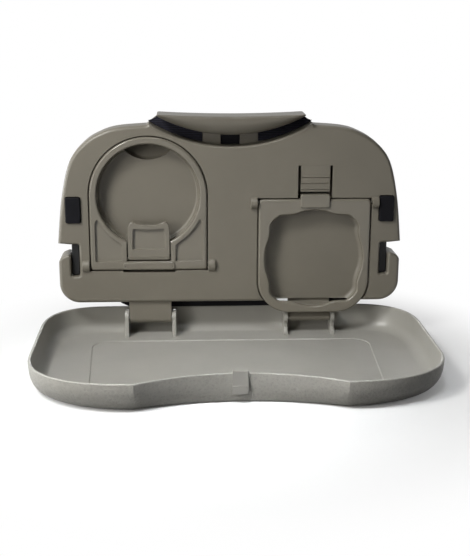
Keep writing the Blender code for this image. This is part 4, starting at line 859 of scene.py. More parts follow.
def show(piece, body, finish, slot, *nodes, angle=40):
    """Finishes a piece, lets it ride on its body and hides the CAD nodes that it stands for."""
    if finish:
        piece.data.materials.clear()
        piece.data.materials.append(finish)
    piece.data.shade_smooth()
    piece.data.set_sharp_from_angle(angle=math.radians(angle))
    # The large flat faces lead the shading beside their roundings.
    step = piece.modifiers.new("Even normals", "WEIGHTED_NORMAL")
    step.keep_sharp = True
    bake_modifiers(piece)
    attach(piece, body)
    if nodes:
        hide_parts(*nodes)


def bend(corner, width, depth, power, steps):
    """A quarter of a superellipse round a corner point, from its side round to its top."""
    points = []
    for turn in quarter_turn(steps):
        along = width * max(math.cos(turn), 0) ** (2 / power)
        up = depth * math.sin(turn) ** (2 / power)
        points.append((corner[0] - width + along, corner[1] - depth + up))
    return points


def tray_outline(share):
    """Plan of the tray's outer wall, from the rim at share 0 to the base at share 1."""
    half_width = TRAY_WIDTH / 2 - BASE_SIDE_INSET * share
    rear = REAR_Y - BASE_REAR_INSET * share
    front = FRONT_Y + BASE_LOBE_INSET * share
    scallop = SCALLOP_DEPTH - (BASE_LOBE_INSET - BASE_SCALLOP_INSET) * share
    power = RIM_LOBE_POWER + (BASE_LOBE_POWER - RIM_LOBE_POWER) * share
    rear_bend = bend((half_width, rear), REAR_CORNER_WIDTH, REAR_CORNER_DEPTH, REAR_CORNER_POWER, 18)
    corner_x = FRONT_CORNER_SPACING / 2
    lobe_depth = LOBE_DEPTH - TRAY_WIDTH / 2 + half_width
    lobe = bend((half_width, -front), half_width - corner_x, lobe_depth, power, 26)
    radius = (corner_x**2 + scallop**2) / (2 * scallop)
    sweep = math.degrees(math.asin(corner_x / radius))
    hollow = arc((0, front + scallop - radius), radius, 90 - sweep, 90, 16)
    return both_sides([(0, rear)] + rear_bend[::-1] + [(x, -y) for x, y in lobe] + hollow[1:])


def tray_ring(height, distance):
    share = (1 - height / TRAY_HEIGHT) ** WALL_BEND_POWER
    return [(x, y, height) for x, y in inset(tray_outline(share), distance)]


def well_outline():
    inner = inset(tray_outline(1), WELL_FRONT_MARGIN)
    front = [(x, y) for x, y in inner if 0 <= x < WELL_FRONT_WIDTH / 2 and y < 0]
    rear = REAR_Y - WELL_REAR_MARGIN
    corner = (WELL_WIDTH / 2 - WELL_CORNER_RADIUS, rear - WELL_CORNER_RADIUS)
    return both_sides([(0, rear)] + arc(corner, WELL_CORNER_RADIUS, 90, 0, 8) + front)


def ear_profile(necked):
    """Side view of an ear. Those beside the cup holder are necked, to clear its foot in the closed table."""
    deep = TRAY_FLOOR / 2
    foot_front = AXIS_Y - EAR_FOOT_REACH
    wall = REAR_Y - BASE_REAR_INSET - TRAY_WALL / 2
    lead = [(foot_front, deep), (foot_front, TRAY_FLOOR + EAR_FOOT_HEIGHT)]
    turn = EAR_FRONT_ANGLE
    if necked:
        turn = 360 - math.degrees(math.acos(-EAR_NECK / EAR_RADIUS))
        lead.append((AXIS_Y - EAR_NECK, TRAY_FLOOR + EAR_FOOT_TOP))
    head = arc((AXIS_Y, AXIS_Z), EAR_RADIUS, turn, EAR_WEB_ANGLE, 24)
    web_top = AXIS_Z + EAR_RADIUS * math.sin(math.radians(EAR_WEB_ANGLE))
    return lead + head + [(wall, web_top), (wall, deep)]


def ear_places():
    reach = LEAF_WIDTH / 2 + RUNNING_GAP
    for middle in (-HINGE_SPACING / 2, HINGE_SPACING / 2):
        yield middle - reach - EAR_THICKNESS, middle - reach
        yield middle + reach, middle + reach + EAR_THICKNESS


def make_tray():
    """The tray: grained outside, smooth inside, with a rounded rim, deep fillet and sunken floor field."""
    outside = lip(0, BASE_ROUNDING, 4) + [(TRAY_HEIGHT * share, 0) for share in WALL_LEVEL_SHARES]
    outside += root(TRAY_HEIGHT, RIM_ROUNDING, 4)
    inside = [(height, -distance) for height, distance in lip(TRAY_HEIGHT, RIM_ROUNDING, 4, -1)]
    inside += [(TRAY_HEIGHT * share, 0) for share in WALL_LEVEL_SHARES[:-4:-1]]
    inside += root(TRAY_FLOOR, FLOOR_FILLET, 8, 1)
    rings = [tray_ring(*level) for level in outside]
    rings += [tray_ring(height, TRAY_WALL + distance) for height, distance in inside]
    bands = [1] * (len(outside) - 1) + [0] * len(inside)
    tray = loft("tray_moulding", rings, (TRAY_FINISH_PAINTED_SHEEN, TRAY_GRAIN_PAINTED_LIGHT), bands)
    for left, right in ear_places():
        profile = softened(ear_profile(left > 0), BIG_CORNER)
        join(tray, sideways("ear", profile, rounding(left, right, SOFT_EDGE, 3)))
        hinge_bore(tray, left, right)
    well = []
    for share, edge in WELL_LEVELS:
        well.append([(x, y, TRAY_FLOOR + WELL_DEPTH * share) for x, y in inset(well_outline(), edge)])
    cut(tray, loft("well", well))
    show(tray, "tray", None, "beige_abs", "tray", angle=26)


def make_latch_tab():
    wall = FRONT_Y + SCALLOP_DEPTH
    sag = SCALLOP_RADIUS - math.sqrt(SCALLOP_RADIUS**2 - (TAB_WIDTH / 2) ** 2)
    near = wall - sag - RUNNING_GAP
    outer = near - TAB_THICKNESS
    inner = wall + TRAY_WALL + BASE_SCALLOP_INSET * TAB_LIP_DEPTH / TRAY_HEIGHT + FIT_GAP
    top = TRAY_HEIGHT + TAB_RISE
    under = TRAY_HEIGHT + FIT_GAP
    low = TRAY_HEIGHT - TAB_LIP_DEPTH
    wedge = (outer - TAB_WEDGE_PROUD, TAB_WEDGE_TOP - TAB_WEDGE_PROUD)
    profile = [(outer, top), (outer, TAB_WEDGE_TOP), wedge, (outer - TAB_WEDGE_PROUD / 2, TAB_FOOT)]
    profile += [(near, TAB_FOOT), (near, under), (inner, under)]
    profile += [(inner, low), (inner + TAB_THICKNESS, low), (inner + TAB_THICKNESS, top)]
    sections = rounding(-TAB_WIDTH / 2, TAB_WIDTH / 2, TAB_EDGE, 3)
    tab = sideways("latch_spring_tab", softened(profile, TAB_CORNER, 3), sections)
    show(tab, "latch", TRAY_FINISH_PAINTED_SHEEN, "beige_abs", "latch_tab")


def make_hinge(name, side, cranked):
    middle = side * HINGE_SPACING / 2
    half = LEAF_WIDTH / 2
    left, right = middle - half, middle + half
    front = AXIS_Y - BARREL_RADIUS
    back = AXIS_Y + BARREL_RADIUS
    top = PANEL_BOTTOM + LEAF_RISE
    barrel_top = AXIS_Z + BARREL_RADIUS
    profile = arc((AXIS_Y, AXIS_Z), BARREL_RADIUS, 180, 360, 20)
    if cranked:
        crank_front = front + LEAF_CRANK
        crank_back = crank_front + CRANKED_PLATE
        turn_high = PANEL_BOTTOM - RUNNING_GAP
        profile += [(back, barrel_top), (crank_back, turn_high), (crank_back, top), (crank_front, top)]
        profile += [(crank_front, turn_high), (front + CRANKED_PLATE, barrel_top), (front, AXIS_Z + FIT_GAP)]
    else:
        plate_back = front + LEAF_PLATE
        profile += [(plate_back, barrel_top), (plate_back, top), (front, top)]
    leaf = sideways("leaf_" + name, profile, rounding(left, right, EDGE, 3))
    hinge_bore(leaf, left, right)
    show(leaf, "panel", PANEL_FINISH, "beige_abs", "hinge_leaf_" + name)
    reach = half + RUNNING_GAP + EAR_THICKNESS
    pin = circle((AXIS_Y, AXIS_Z), HINGE_PIN_RADIUS, ROUND_SIDES)
    pin = sideways("steel_pin_" + name, pin, rounding(middle - reach, middle + reach, FINE_EDGE, 2))
    show(pin, "panel", STEEL_FINISH, "zinc_steel", "hinge_pin_" + name)


def groove_low(x):
    return GROOVE_CENTRE_Z - math.sqrt(GROOVE_RADIUS**2 - x * x)


def grip_top(x):
    share = abs(x) / GRIP_HALF_LENGTH
    return PANEL_TOP + GRIP_TOP_RISE - GRIP_TOP_DIP * (1 - share * share)


def panel_outline():
    run = [(HALF_PANEL * x, PANEL_BOTTOM + PANEL_HEIGHT * z) for x, z in PANEL_SIDE_SHARES]
    low = PANEL_BOTTOM - SKIRT_DROP
    corner = (HALF_PANEL - PANEL_CORNER_RADIUS, low + PANEL_CORNER_RADIUS)
    right = [(0, SHOULDER_Z), (GRIP_HALF_LENGTH, SHOULDER_Z)] + smooth(run, 7)
    return both_sides(right + arc(corner, PANEL_CORNER_RADIUS, 0, -90, 12) + [(0, low)])


def notch_outline():
    low = PANEL_BOTTOM + SLOT_BOTTOM
    high = PANEL_BOTTOM + SLOT_TOP
    inner = SLOT_INNER_X
    outer = SLOT_INNER_X + SLOT_WIDTH
    beyond = HALF_PANEL + CUTTER_REACH
    mouth = high - MOUTH_HEIGHT
    points = arc((inner + SLOT_ROUNDING, low + SLOT_ROUNDING), SLOT_ROUNDING, 270, 180, 6)
    points += arc((inner + SLOT_ROUNDING, high - SLOT_ROUNDING), SLOT_ROUNDING, 180, 90, 6)
    points += [(outer, high), (beyond, high + MOUTH_FLARE), (beyond, mouth - LIP_DROP - MOUTH_FLARE)]
    points += [(HALF_PANEL - x, mouth - drop) for x, drop in PRONG_SIDE]
    tip = (outer + NOTCH_TIP_RADIUS, mouth - PRONG_DROP - NOTCH_TIP_RADIUS)
    points += arc(tip, NOTCH_TIP_RADIUS, 62, 180, 8)
    return points + arc((outer - SLOT_ROUNDING, low + SLOT_ROUNDING), SLOT_ROUNDING, 0, -90, 6)


def groove_outline():
    reach = GROOVE_HALF_SPAN + CUTTER_REACH
    places = [-reach + 2 * reach * i / 48 for i in range(49)]
    over = PANEL_TOP + GRIP_TOP_RISE + CUTTER_REACH
    return [(x, groove_low(x)) for x in places] + [(reach, over), (-reach, over)]


def ring_outline(grow=0, corner=0.0):
    radius = RING_OUTER_RADIUS + grow
    foot = RING_AXIS_Z - RING_BAR_RADIUS - grow
    outline = arc((RING_X, RING_Z), radius, 0, 180, 56) + [(RING_X - radius, foot), (RING_X + radius, foot)]
    return softened(outline, corner) if corner else outline


def holder_outline(grow=0, corner=0.0):
    top = HOLDER_TOP + grow
    radius = HOLDER_CORNER_RADIUS + grow
    left, right = HOLDER_X - HOLDER_WIDTH / 2 - grow, HOLDER_X + HOLDER_WIDTH / 2 + grow
    centre_z = HOLDER_TOP - HOLDER_LENGTH - grow + radius
    points = [(right, top)] + arc((right - radius, centre_z), radius, 0, -90, 16)
    points += arc((left + radius, centre_z), radius, 270, 180, 16) + [(left, top)]
    return softened(points, corner) if corner else points


def opening_outline(grow=0):
    wide = HOLDER_OPENING_WIDTH / 2
    tall = HOLDER_OPENING_HEIGHT / 2
    quarter = [(0, tall)] + [(wide * x, tall * z) for x, z in OPENING_QUARTER_SHARES] + [(wide, 0)]
    quarter = smooth(quarter, 6)
    right = quarter + [(x, -z) for x, z in reversed(quarter[:-1])]
    middle = HOLDER_TOP - HOLDER_TOP_RAIL - tall
    return inset([(HOLDER_X + x, middle + z) for x, z in both_sides(right)], -grow)


def boss_profile(axis_y, axis_z, radius):
    reach = math.degrees(math.asin((FACE_Y + BOSS_ROOT - axis_y) / radius))
    return arc((axis_y, axis_z), radius, 90 - reach, 270 + reach, 24)


def bosses():
    """The outlines and X ranges of the four bosses that hold the ring's and the holder's stub pins."""
    ring = boss_profile(RING_AXIS_Y, RING_AXIS_Z, RING_BOSS_RADIUS)
    holder = boss_profile(HOLDER_AXIS_Y, HOLDER_AXIS_Z, HOLDER_BOSS_RADIUS)
    for side in (-1, 1):
        start = RING_X + side * (RING_OUTER_RADIUS + RING_RECESS_GAP)
        yield ring, *sorted((start, start + side * RING_BOSS_LENGTH))
    for side in (-1, 1):
        start = HOLDER_X + side * (HOLDER_WIDTH / 2 + HOLDER_RECESS_GAP)
        yield holder, *sorted((start, start + side * HOLDER_BOSS_LENGTH))


def bumper_outline(side, grow=0):
    outer = HALF_PANEL - BUMPER_SIDE_MARGIN
    low = (outer - BUMPER_WIDTH - grow, PANEL_BOTTOM + BUMPER_BOTTOM - grow)
    high = (outer + grow, PANEL_BOTTOM + BUMPER_BOTTOM + BUMPER_HEIGHT + grow)
    outline = rounded_box(low, high, BUMPER_ROUNDING + grow, 5)
    return outline if side > 0 else mirrored(outline)


def bowl_cutter():
    front = FACE_Y + RING_RECESS_DEPTH
    back = FACE_Y + BOWL_DEPTH
    wide = BOWL_RADIUS + SOFT_EDGE
    sections = [(front - CUTTER_REACH, wide), (front, wide), (front + SOFT_EDGE, BOWL_RADIUS)]
    for turn in quarter_turn(8):
        y = back - (back - front - BOWL_WALL) * (1 - math.sin(turn))
        sections.append((y, BOWL_RADIUS - BOWL_SLOPE * (1 - math.cos(turn))))
    return loft("bowl", [[(x, y, z) for x, z in circle((RING_X, RING_Z), r, 96)] for y, r in sections])


def scoop_cutter():
    """Thumb scoop under the ring's top, whose floor slants deeper towards the top."""
    centre_z = RING_Z + SCOOP_REACH + SCOOP_RADIUS
    sweep = math.degrees(math.acos((centre_z - RING_Z - SCOOP_TOP) / SCOOP_RADIUS))
    outline = arc((RING_X, centre_z), SCOOP_RADIUS, 270 - sweep, 270 + sweep, 28)
    scoop = upright("scoop", outline, pocket(SCOOP_DEPTH, SCOOP_EDGE, SCOOP_FOOT, FACE_Y))
    for vertex in scoop.data.vertices:
        vertex.co.y += (vertex.co.z - RING_Z - SCOOP_REACH) * SCOOP_TILT
    return scoop


def rectangle(middle, half, low, high):
    return [(middle - half, low), (middle + half, low), (middle + half, high), (middle - half, high)]


def cut_recesses(panel):
    """The recesses of the ring, the holder and the clip."""
    cam_low = HOLDER_AXIS_Z - CAM_RISE - RUNNING_GAP
    cam_high = HOLDER_AXIS_Z + CAM_RISE + CLIP_GAP
    cam = rectangle(HOLDER_X, CAM_WIDTH / 2 + RUNNING_GAP, cam_low, cam_high)
    clip_top = PANEL_BOTTOM + CLIP_TOP
    clip = rectangle(HOLDER_X, CLIP_WIDTH / 2 + CLIP_SLOT / 2, HOLDER_TOP, clip_top)
    pad_low = RING_AXIS_Z - RING_BAR_RADIUS - RING_PAD_PROUD - RING_RECESS_GAP
    pad = rectangle(RING_X, RING_PAD_HALF, pad_low, RING_AXIS_Z)
    sink(panel, ring_outline(RING_RECESS_GAP), RING_RECESS_DEPTH, SOFT_EDGE, RECESS_FOOT)
    sink(panel, softened(pad, BIG_CORNER), RING_RECESS_DEPTH, SMALL_EDGE, EDGE)
    cut(panel, bowl_cutter())
    cut(panel, scoop_cutter())
    sink(panel, holder_outline(HOLDER_RECESS_GAP), HOLDER_RECESS_DEPTH, SOFT_EDGE, RECESS_FOOT)
    sink(panel, opening_outline(HOLDER_BOWL_GROWTH), HOLDER_BOWL_DEPTH, EDGE, HOLDER_BOWL_FOOT)
    sink(panel, softened(cam, EDGE), CAM_POCKET_DEPTH, FINE_EDGE, SMALL_EDGE)
    cut(panel, upright("clip_window", clip, ((FACE_Y - CUTTER_REACH, 0), (SHELL_BACK_Y - CLIP_WEB, 0))))
    for side in (-1, 1):
        middle = HOLDER_X + side * (CLIP_WIDTH + CLIP_SLOT) / 2
        low, high = (middle - CLIP_SLOT / 2, HOLDER_TOP), (middle + CLIP_SLOT / 2, clip_top)
        slot = rounded_box(low, high, CLIP_SLOT_ROUNDING)
        sink(panel, slot, PANEL_DEPTH - CLIP_SLOT_WEB, EDGE, FINEST_EDGE)


def cut_groove(panel):
    """The groove under the grip, with its two bridges and the catch window between them."""
    groove = [(FACE_Y - CUTTER_REACH * 2, -GROOVE_LIP)] + lip(FACE_Y, GROOVE_LIP, 7, 1, -1)
    groove += [(GROOVE_FLOOR_Y - GROOVE_FOOT, 0), (GROOVE_FLOOR_Y - FINE_EDGE, FINE_EDGE)]
    cut(panel, upright("groove", groove_outline(), groove + [(GROOVE_FLOOR_Y, GROOVE_FOOT)]))
    for side in (-1, 1):
        inner, outer = sorted((side * CATCH_HALF_WIDTH, side * BRIDGE_END_X))
        low = (inner, GROOVE_FLOOR_Y - BRIDGE_HEIGHT, GROOVE_LOW - OVERLAP)
        join(panel, plain_box("bridge", low, (outer, GROOVE_FLOOR_Y + OVERLAP, GRIP_LOW - FIT_GAP)))
    catch = ((GROOVE_FLOOR_Y - CUTTER_REACH / 2, 0), (SHELL_BACK_Y - EDGE, 0))
    cut(panel, upright("catch", catch_outline(), catch))


def catch_outline():
    return rounded_box((-CATCH_HALF_WIDTH, GROOVE_LOW), (CATCH_HALF_WIDTH, GRIP_LOW), SOFT_EDGE, 3)


def cut_leaf_slots(panel):
    for side, front, plate in ((-1, 0, LEAF_PLATE), (1, LEAF_CRANK, CRANKED_PLATE)):
        middle = side * HINGE_SPACING / 2
        half = LEAF_WIDTH / 2 + RUNNING_GAP
        start = AXIS_Y - BARREL_RADIUS + front - RUNNING_GAP
        high = (middle + half, start + plate + 2 * RUNNING_GAP, PANEL_BOTTOM + LEAF_RISE + RUNNING_GAP)
        cut(panel, plain_box("leaf_slot", (middle - half, start, PANEL_BOTTOM - CUTTER_REACH), high))


def make_panel():
    """The upright front moulding with its recesses, groove, notches and hinge bosses."""
    sections = lip(FACE_Y, PANEL_EDGE, 7) + [(SHELL_BACK_Y - SHELL_EDGE, 0), (SHELL_BACK_Y, EDGE)]
    panel = upright("panel_moulding", panel_outline(), sections)
    for profile, left, right in bosses():
        join(panel, sideways("boss", profile, rounding(left, right, SOFT_EDGE)))
    cut_recesses(panel)
    cut_groove(panel)
    for outline in (notch_outline(), mirrored(notch_outline())):
        pierce(panel, outline, FACE_Y, SHELL_BACK_Y, NOTCH_LIP, 5, EDGE)
    for side in (-1, 1):
        sink(panel, bumper_outline(side, FIT_GAP), BUMPER_SEAT, EDGE, FINE_EDGE)
    cut_leaf_slots(panel)
    show(panel, "panel", PANEL_FINISH, "beige_abs", "back_panel", angle=30)
    # A thin black sheet in the catch window that stands for the shade of the hollow behind it: painted
    # shade.
    front, back = (GROOVE_FLOOR_Y + depth for depth in CATCH_SHADE_SHEET_DEPTHS)
    outline = inset(catch_outline(), FIT_GAP / 3)
    catch_shade_sheet = upright("catch_painted_shade_sheet", outline, rounding(front, back, FINEST_EDGE, 2))
    show(catch_shade_sheet, "panel", RUBBER_FINISH, "black_rubber")


def make_cover():
    sections = rounding(COVER_FRONT_Y, COVER_BACK_Y, BIG_CORNER)
    cover = upright("rear_panel_cover", inset(panel_outline(), FIT_GAP), sections)
    for outline in (notch_outline(), mirrored(notch_outline())):
        pierce(cover, outline, COVER_FRONT_Y, COVER_BACK_Y, EDGE, 3)
    show(cover, "panel", COVER_FINISH, "beige_abs", "rear_cover", angle=30)


def grip_section(x, swell):
    """Section of the grip across X: rolled over at its top front, leaning back towards its lower edge."""
    low = groove_low(x) + GRIP_LOW - GROOVE_LOW
    middle = (grip_top(x) + low) / 2
    half = (grip_top(x) - low) / 2 * swell
    back = GROOVE_FLOOR_Y - FIT_GAP
    depth = back - FACE_Y + GRIP_PROUD - GRIP_END_ROUNDING * (1 - swell)
    return [(x, back - depth * (1 - y), middle + half * (2 * z - 1)) for y, z in GRIP_SHARES]


def make_grip():
    """Crescent grip with a rolled front and rounded tips."""
    straight = GRIP_HALF_LENGTH - GRIP_END_ROUNDING
    places = [(straight * i / 26, 1.0) for i in range(26)]
    for turn in quarter_turn(5):
        swell = 1 - GRIP_TIP_SHARE * (1 - math.cos(turn))
        places.append((straight + GRIP_END_ROUNDING * math.sin(turn), swell))
    run = mirrored(places[1:]) + places
    grip = loft("crescent_grip", [grip_section(x, swell) for x, swell in run])
    show(grip, "panel", GRIP_FINISH_PAINTED_SHADE, "beige_abs", "hand_grip", angle=50)


def panel_top_edge(x):
    end_x = HALF_PANEL * PANEL_SIDE_SHARES[0][0]
    share = max(0, (x - GRIP_HALF_LENGTH) / (end_x - GRIP_HALF_LENGTH))
    return SHOULDER_Z + (PANEL_TOP - SHOULDER_Z) * share - RUNNING_GAP


def make_liners():
    back = GROOVE_FLOOR_Y - FIT_GAP
    start = BRIDGE_END_X + RUNNING_GAP
    end = GROOVE_HALF_SPAN - 2 * RUNNING_GAP
    for name, side in SIDES:
        low, high = [], []
        for i in range(31):
            x = start + (end - start) * i / 30
            foot = groove_low(x) + RUNNING_GAP
            low.append((x, foot))
            high.append((x, max(min(foot + GROOVE_WIDTH, panel_top_edge(x)), foot + RUNNING_GAP)))
        outline = low + high[::-1]
        if side < 0:
            outline = mirrored(outline)
        liner = upright("woven_strip_" + name, outline, rounding(back - LINER_THICKNESS, back, FINE_EDGE, 2))
        show(liner, "panel", LINER_FINISH, "black_webbing", "groove_liner_" + name)


def gusset_outline(side):
    inner = RING_NECK_WIDTH / 2 + RING_NECK_WALL
    outer = RING_OUTER_RADIUS - RING_SIDE_WALL
    low = RING_AXIS_Z + RING_BAR_RADIUS + RUNNING_GAP
    reach = RING_INNER_RADIUS + RING_NECK_WALL
    points = [(inner, low), (outer, low), (outer, PANEL_BOTTOM + RING_GUSSET_TOP)]
    for i in range(1, 12):
        x = outer + (inner - outer) * i / 12
        points.append((x, RING_Z - math.sqrt(max(reach**2 - x * x, 0))))
    points.append((inner, PANEL_BOTTOM + RING_GUSSET_NECK_TOP))
    return softened([(RING_X + side * x, z) for x, z in points], BIG_CORNER)


def make_ring():
    """Fold-down ring with its neck, gussets and hinge bar."""
    sections = rounding(RING_FRONT_Y, RING_BACK_Y, RING_EDGE, 5, BACK_EDGE)
    ring = upright("folding_cup_ring", ring_outline(0, RING_CORNER), sections)
    opening = circle((RING_X, RING_Z), RING_INNER_RADIUS, 112)
    pierce(ring, opening, RING_FRONT_Y, RING_BACK_Y, RING_INNER_EDGE, 5, SOFT_EDGE)
    low = RING_AXIS_Z + RING_BAR_RADIUS + RUNNING_GAP
    neck = softened(rectangle(RING_X, RING_NECK_WIDTH / 2, low, RING_Z), RING_NECK_CORNER)
    pierce(ring, neck, RING_FRONT_Y, RING_BACK_Y, BACK_EDGE)
    back_depth = RING_THICKNESS - RING_GUSSET_DEPTH - RING_GUSSET_WEB
    for side in (-1, 1):
        outline = gusset_outline(side)
        sink(ring, outline, RING_GUSSET_DEPTH, EDGE, SMALL_EDGE, face=RING_FRONT_Y)
        sink(ring, outline, back_depth, EDGE, SMALL_EDGE, face=RING_BACK_Y, way=-1)
    pad_low = (RING_X - RING_PAD_HALF + RUNNING_GAP, RING_AXIS_Z - RING_BAR_RADIUS * RING_PAD_SHARE)
    pad_high = (RING_X + RING_PAD_HALF - RUNNING_GAP, RING_AXIS_Z + RING_BAR_RADIUS)
    pad = rounded_box(pad_low, pad_high, RING_PAD_ROUNDING, 5)
    pad_front = RING_FRONT_Y - RING_PAD_PROUD
    join(ring, upright("pad", pad, rounding(pad_front, RING_FRONT_Y + RING_EDGE * 2, TONGUE_EDGE)))
    for x in (pad_low[0] + RING_PAD_ROUNDING, pad_high[0] - RING_PAD_ROUNDING):
        dimple = circle((x, (pad_low[1] + pad_high[1]) / 2), DIMPLE_RADIUS, 16)
        sink(ring, dimple, DIMPLE_DEPTH, FINEST_EDGE, FINE_EDGE, face=pad_front)
    show(ring, "ring", RING_FINISH_PAINTED_LIGHT, "beige_abs", "cup_ring", angle=35)


def make_tongue():
    half = TONGUE_WIDTH / 2
    top = PANEL_BOTTOM + TONGUE_TOP
    low = PANEL_BOTTOM + TONGUE_BOTTOM
    lobe = TONGUE_WIDTH / 8
    right = [(0, low), (half - lobe / 4, low), (half, low + lobe / 4), (half, top - lobe * 1.5)]
    right += [(half - lobe / 3, top - lobe / 3), (half - lobe, top)]
    dips = [top - TONGUE_DIP * share for share in TONGUE_DIP_SHARES]
    right += [(half - lobe * 1.7, dips[0]), (half / 3, dips[1]), (0, top - TONGUE_DIP)]
    outline = softened([(RING_X + x, z) for x, z in both_sides(right)], TONGUE_CORNER)
    front = RING_FRONT_Y + TONGUE_SETBACK
    tongue = upright("foot_rest_tongue", outline, rounding(front, front + TONGUE_THICKNESS, TONGUE_EDGE, 3))
    pan_half = TONGUE_PAN_WIDTH / 2
    pan_low = PANEL_BOTTOM + TONGUE_PAN_BOTTOM
    pan_top = PANEL_BOTTOM + TONGUE_PAN_TOP
    pan = [(0, pan_low), (pan_half, pan_low), (pan_half * 0.96, pan_top)]
    pan += [(pan_half / 2, pan_top - TONGUE_DIP / 4), (0, pan_top - TONGUE_DIP / 3)]
    pan = softened([(RING_X + x, z) for x, z in both_sides(pan)], TONGUE_PAN_CORNER)
    sink(tongue, pan, TONGUE_PAN_DEPTH, EDGE, SMALL_EDGE, face=front)
    barrel = circle((RING_AXIS_Y, TONGUE_AXIS_Z), TONGUE_AXIS_RISE - TONGUE_BOTTOM - FIT_GAP, 36)
    sections = rounding(RING_X - half + TONGUE_EDGE, RING_X + half - TONGUE_EDGE, EDGE, 2)
    join(tongue, sideways("barrel", barrel, sections))
    show(tongue, "tongue", RING_FINISH_PAINTED_LIGHT, "beige_abs", "cup_tongue", angle=35)


def make_holder():
    """Swing-up frame with the wavy opening and the cam block at its top bar."""
    sections = rounding(HOLDER_FRONT_Y, HOLDER_BACK_Y, HOLDER_EDGE, 6, BACK_EDGE)
    holder = upright("swing_cup_holder", holder_outline(0, HOLDER_TOP_CORNER), sections)
    pierce(holder, opening_outline(), HOLDER_FRONT_Y, HOLDER_BACK_Y, HOLDER_INNER_EDGE, 6, SOFT_EDGE)
    half = CAM_WIDTH / 2
    low = (HOLDER_X - half, HOLDER_FRONT_Y - CAM_PROUD, HOLDER_AXIS_Z - CAM_DROP)
    high = (HOLDER_X + half, HOLDER_BACK_Y - FIT_GAP / 3, HOLDER_AXIS_Z + CAM_RISE)
    join(holder, box("cam", low, high, CAM_EDGE))
    show(holder, "holder", HOLDER_FINISH_PAINTED_LIGHT, "beige_abs", "cup_holder", angle=35)


def make_clip():
    half = CLIP_WIDTH / 2
    top = PANEL_BOTTOM + CLIP_TOP - FIT_GAP / 6
    low = HOLDER_AXIS_Z + CAM_RISE + CLIP_GAP
    front, back = FACE_Y, FACE_Y + CLIP_THICKNESS
    proud = front - CLIP_RIB_PROUD
    profile = [(front, top), (front + CLIP_THICKNESS / 3, top), (back, top - 2 * FIT_GAP)]
    profile += [(back, low), (front, low)]
    for i in range(CLIP_RIBS):
        start = low + CLIP_RIB_HEIGHT + i * CLIP_RIB_PITCH
        end = start + CLIP_RIB_HEIGHT
        profile += [(front, start), (proud, start + CLIP_RIB_PROUD)]
        profile += [(proud, end - CLIP_RIB_PROUD / 2), (front, end)]
    sections = rounding(HOLDER_X - half, HOLDER_X + half, EDGE, 3)
    clip = sideways("ribbed_release_clip", softened(profile, FINEST_EDGE, 2), sections)
    show(clip, "clip", PANEL_FINISH, "beige_abs", "release_clip")


def make_bumpers():
    sections = rounding(FACE_Y - BUMPER_PROUD, FACE_Y + BUMPER_SEAT - FIT_GAP, TONGUE_EDGE)
    for name, side in SIDES:
        bumper = upright("rubber_bumper_" + name, bumper_outline(side), sections)
        show(bumper, "panel", RUBBER_FINISH, "black_rubber", "bumper_" + name)


def make_stop_strip():
    """Black rubber stop under the panel: a run left of the cranked leaf, and a short one right of it. Its
    black also stands for the shade in the gap between panel and tray, so it is partly a real stop and partly
    painted shade.
    """
    back = SHELL_BACK_Y + COVER_THICKNESS / 2
    sections = rounding(back - STOP_DEPTH, back, EDGE, 2)
    low = TRAY_HEIGHT + FIT_GAP
    high = PANEL_BOTTOM - SKIRT_DROP - FIT_GAP
    taper = STOP_LEFT_END + STOP_LEFT_TAPER
    outline = [(taper, low), (STOP_SLIT_START, low), (STOP_SLIT_START, high), (taper, high)]
    outline = softened(outline + [(STOP_LEFT_END, (low + high) / 2)], STOP_CORNER, 3)
    strip = upright("rubber_stop_and_gap_shade", outline, sections)
    short = rounded_box((STOP_RIGHT_START, low), (STOP_RIGHT_END, high), STOP_CORNER)
    add_mesh(strip, upright("short_run", short, sections))
    show(strip, "panel", RUBBER_FINISH, "black_rubber", "stop_strip")


def make_strap(node, reach, width, z, stitch_ends):
    """Woven strap with thicker selvedges and a row of stitches beside each end."""
    half = width / 2
    front, back = STRAP_Y, STRAP_BACK_Y
    inner = back - WEBBING_DIP
    selvedge = [(front + WEBBING_DIP, SELVEDGE), (front, SELVEDGE_ROLL), (front + WEBBING / 3, 0)]
    selvedge += [(back - WEBBING / 3, 0), (back, SELVEDGE_ROLL), (inner, SELVEDGE)]
    profile = [(y, z + half - drop) for y, drop in selvedge] + [(inner, z)]
    profile += [(y, z - half + drop) for y, drop in reversed(selvedge)]
    strap = sideways("woven_" + node, profile, rounding(-reach, reach, FINE_EDGE, 2))
    rows = int((width - 4 * SELVEDGE) / STITCH_PITCH)
    for end in [side * place for side in (-1, 1) for place in stitch_ends]:
        for i in range(rows + 1):
            rings = []
            for k in range(-3, 4):
                radius = STITCH_RADIUS * math.sqrt(1.02 - (k / 3) ** 2)
                level = z + (i - rows / 2) * STITCH_PITCH + STITCH_HALF_LENGTH * k / 3
                rings.append([(end + x, inner + y, level) for x, y in circle((0, 0), radius, 8)])
            add_mesh(strap, loft("stitch", rings))
    show(strap, "panel", STRAP_FINISH, "black_webbing", node, angle=50)


def side_box(name, side, near, far, front, back, low, high, radius):
    """A rounded block on one side of the table, given by its nearer and further X."""
    left, right = sorted((side * near, side * far))
    return box(name, (left, front, low), (right, back, high), radius)


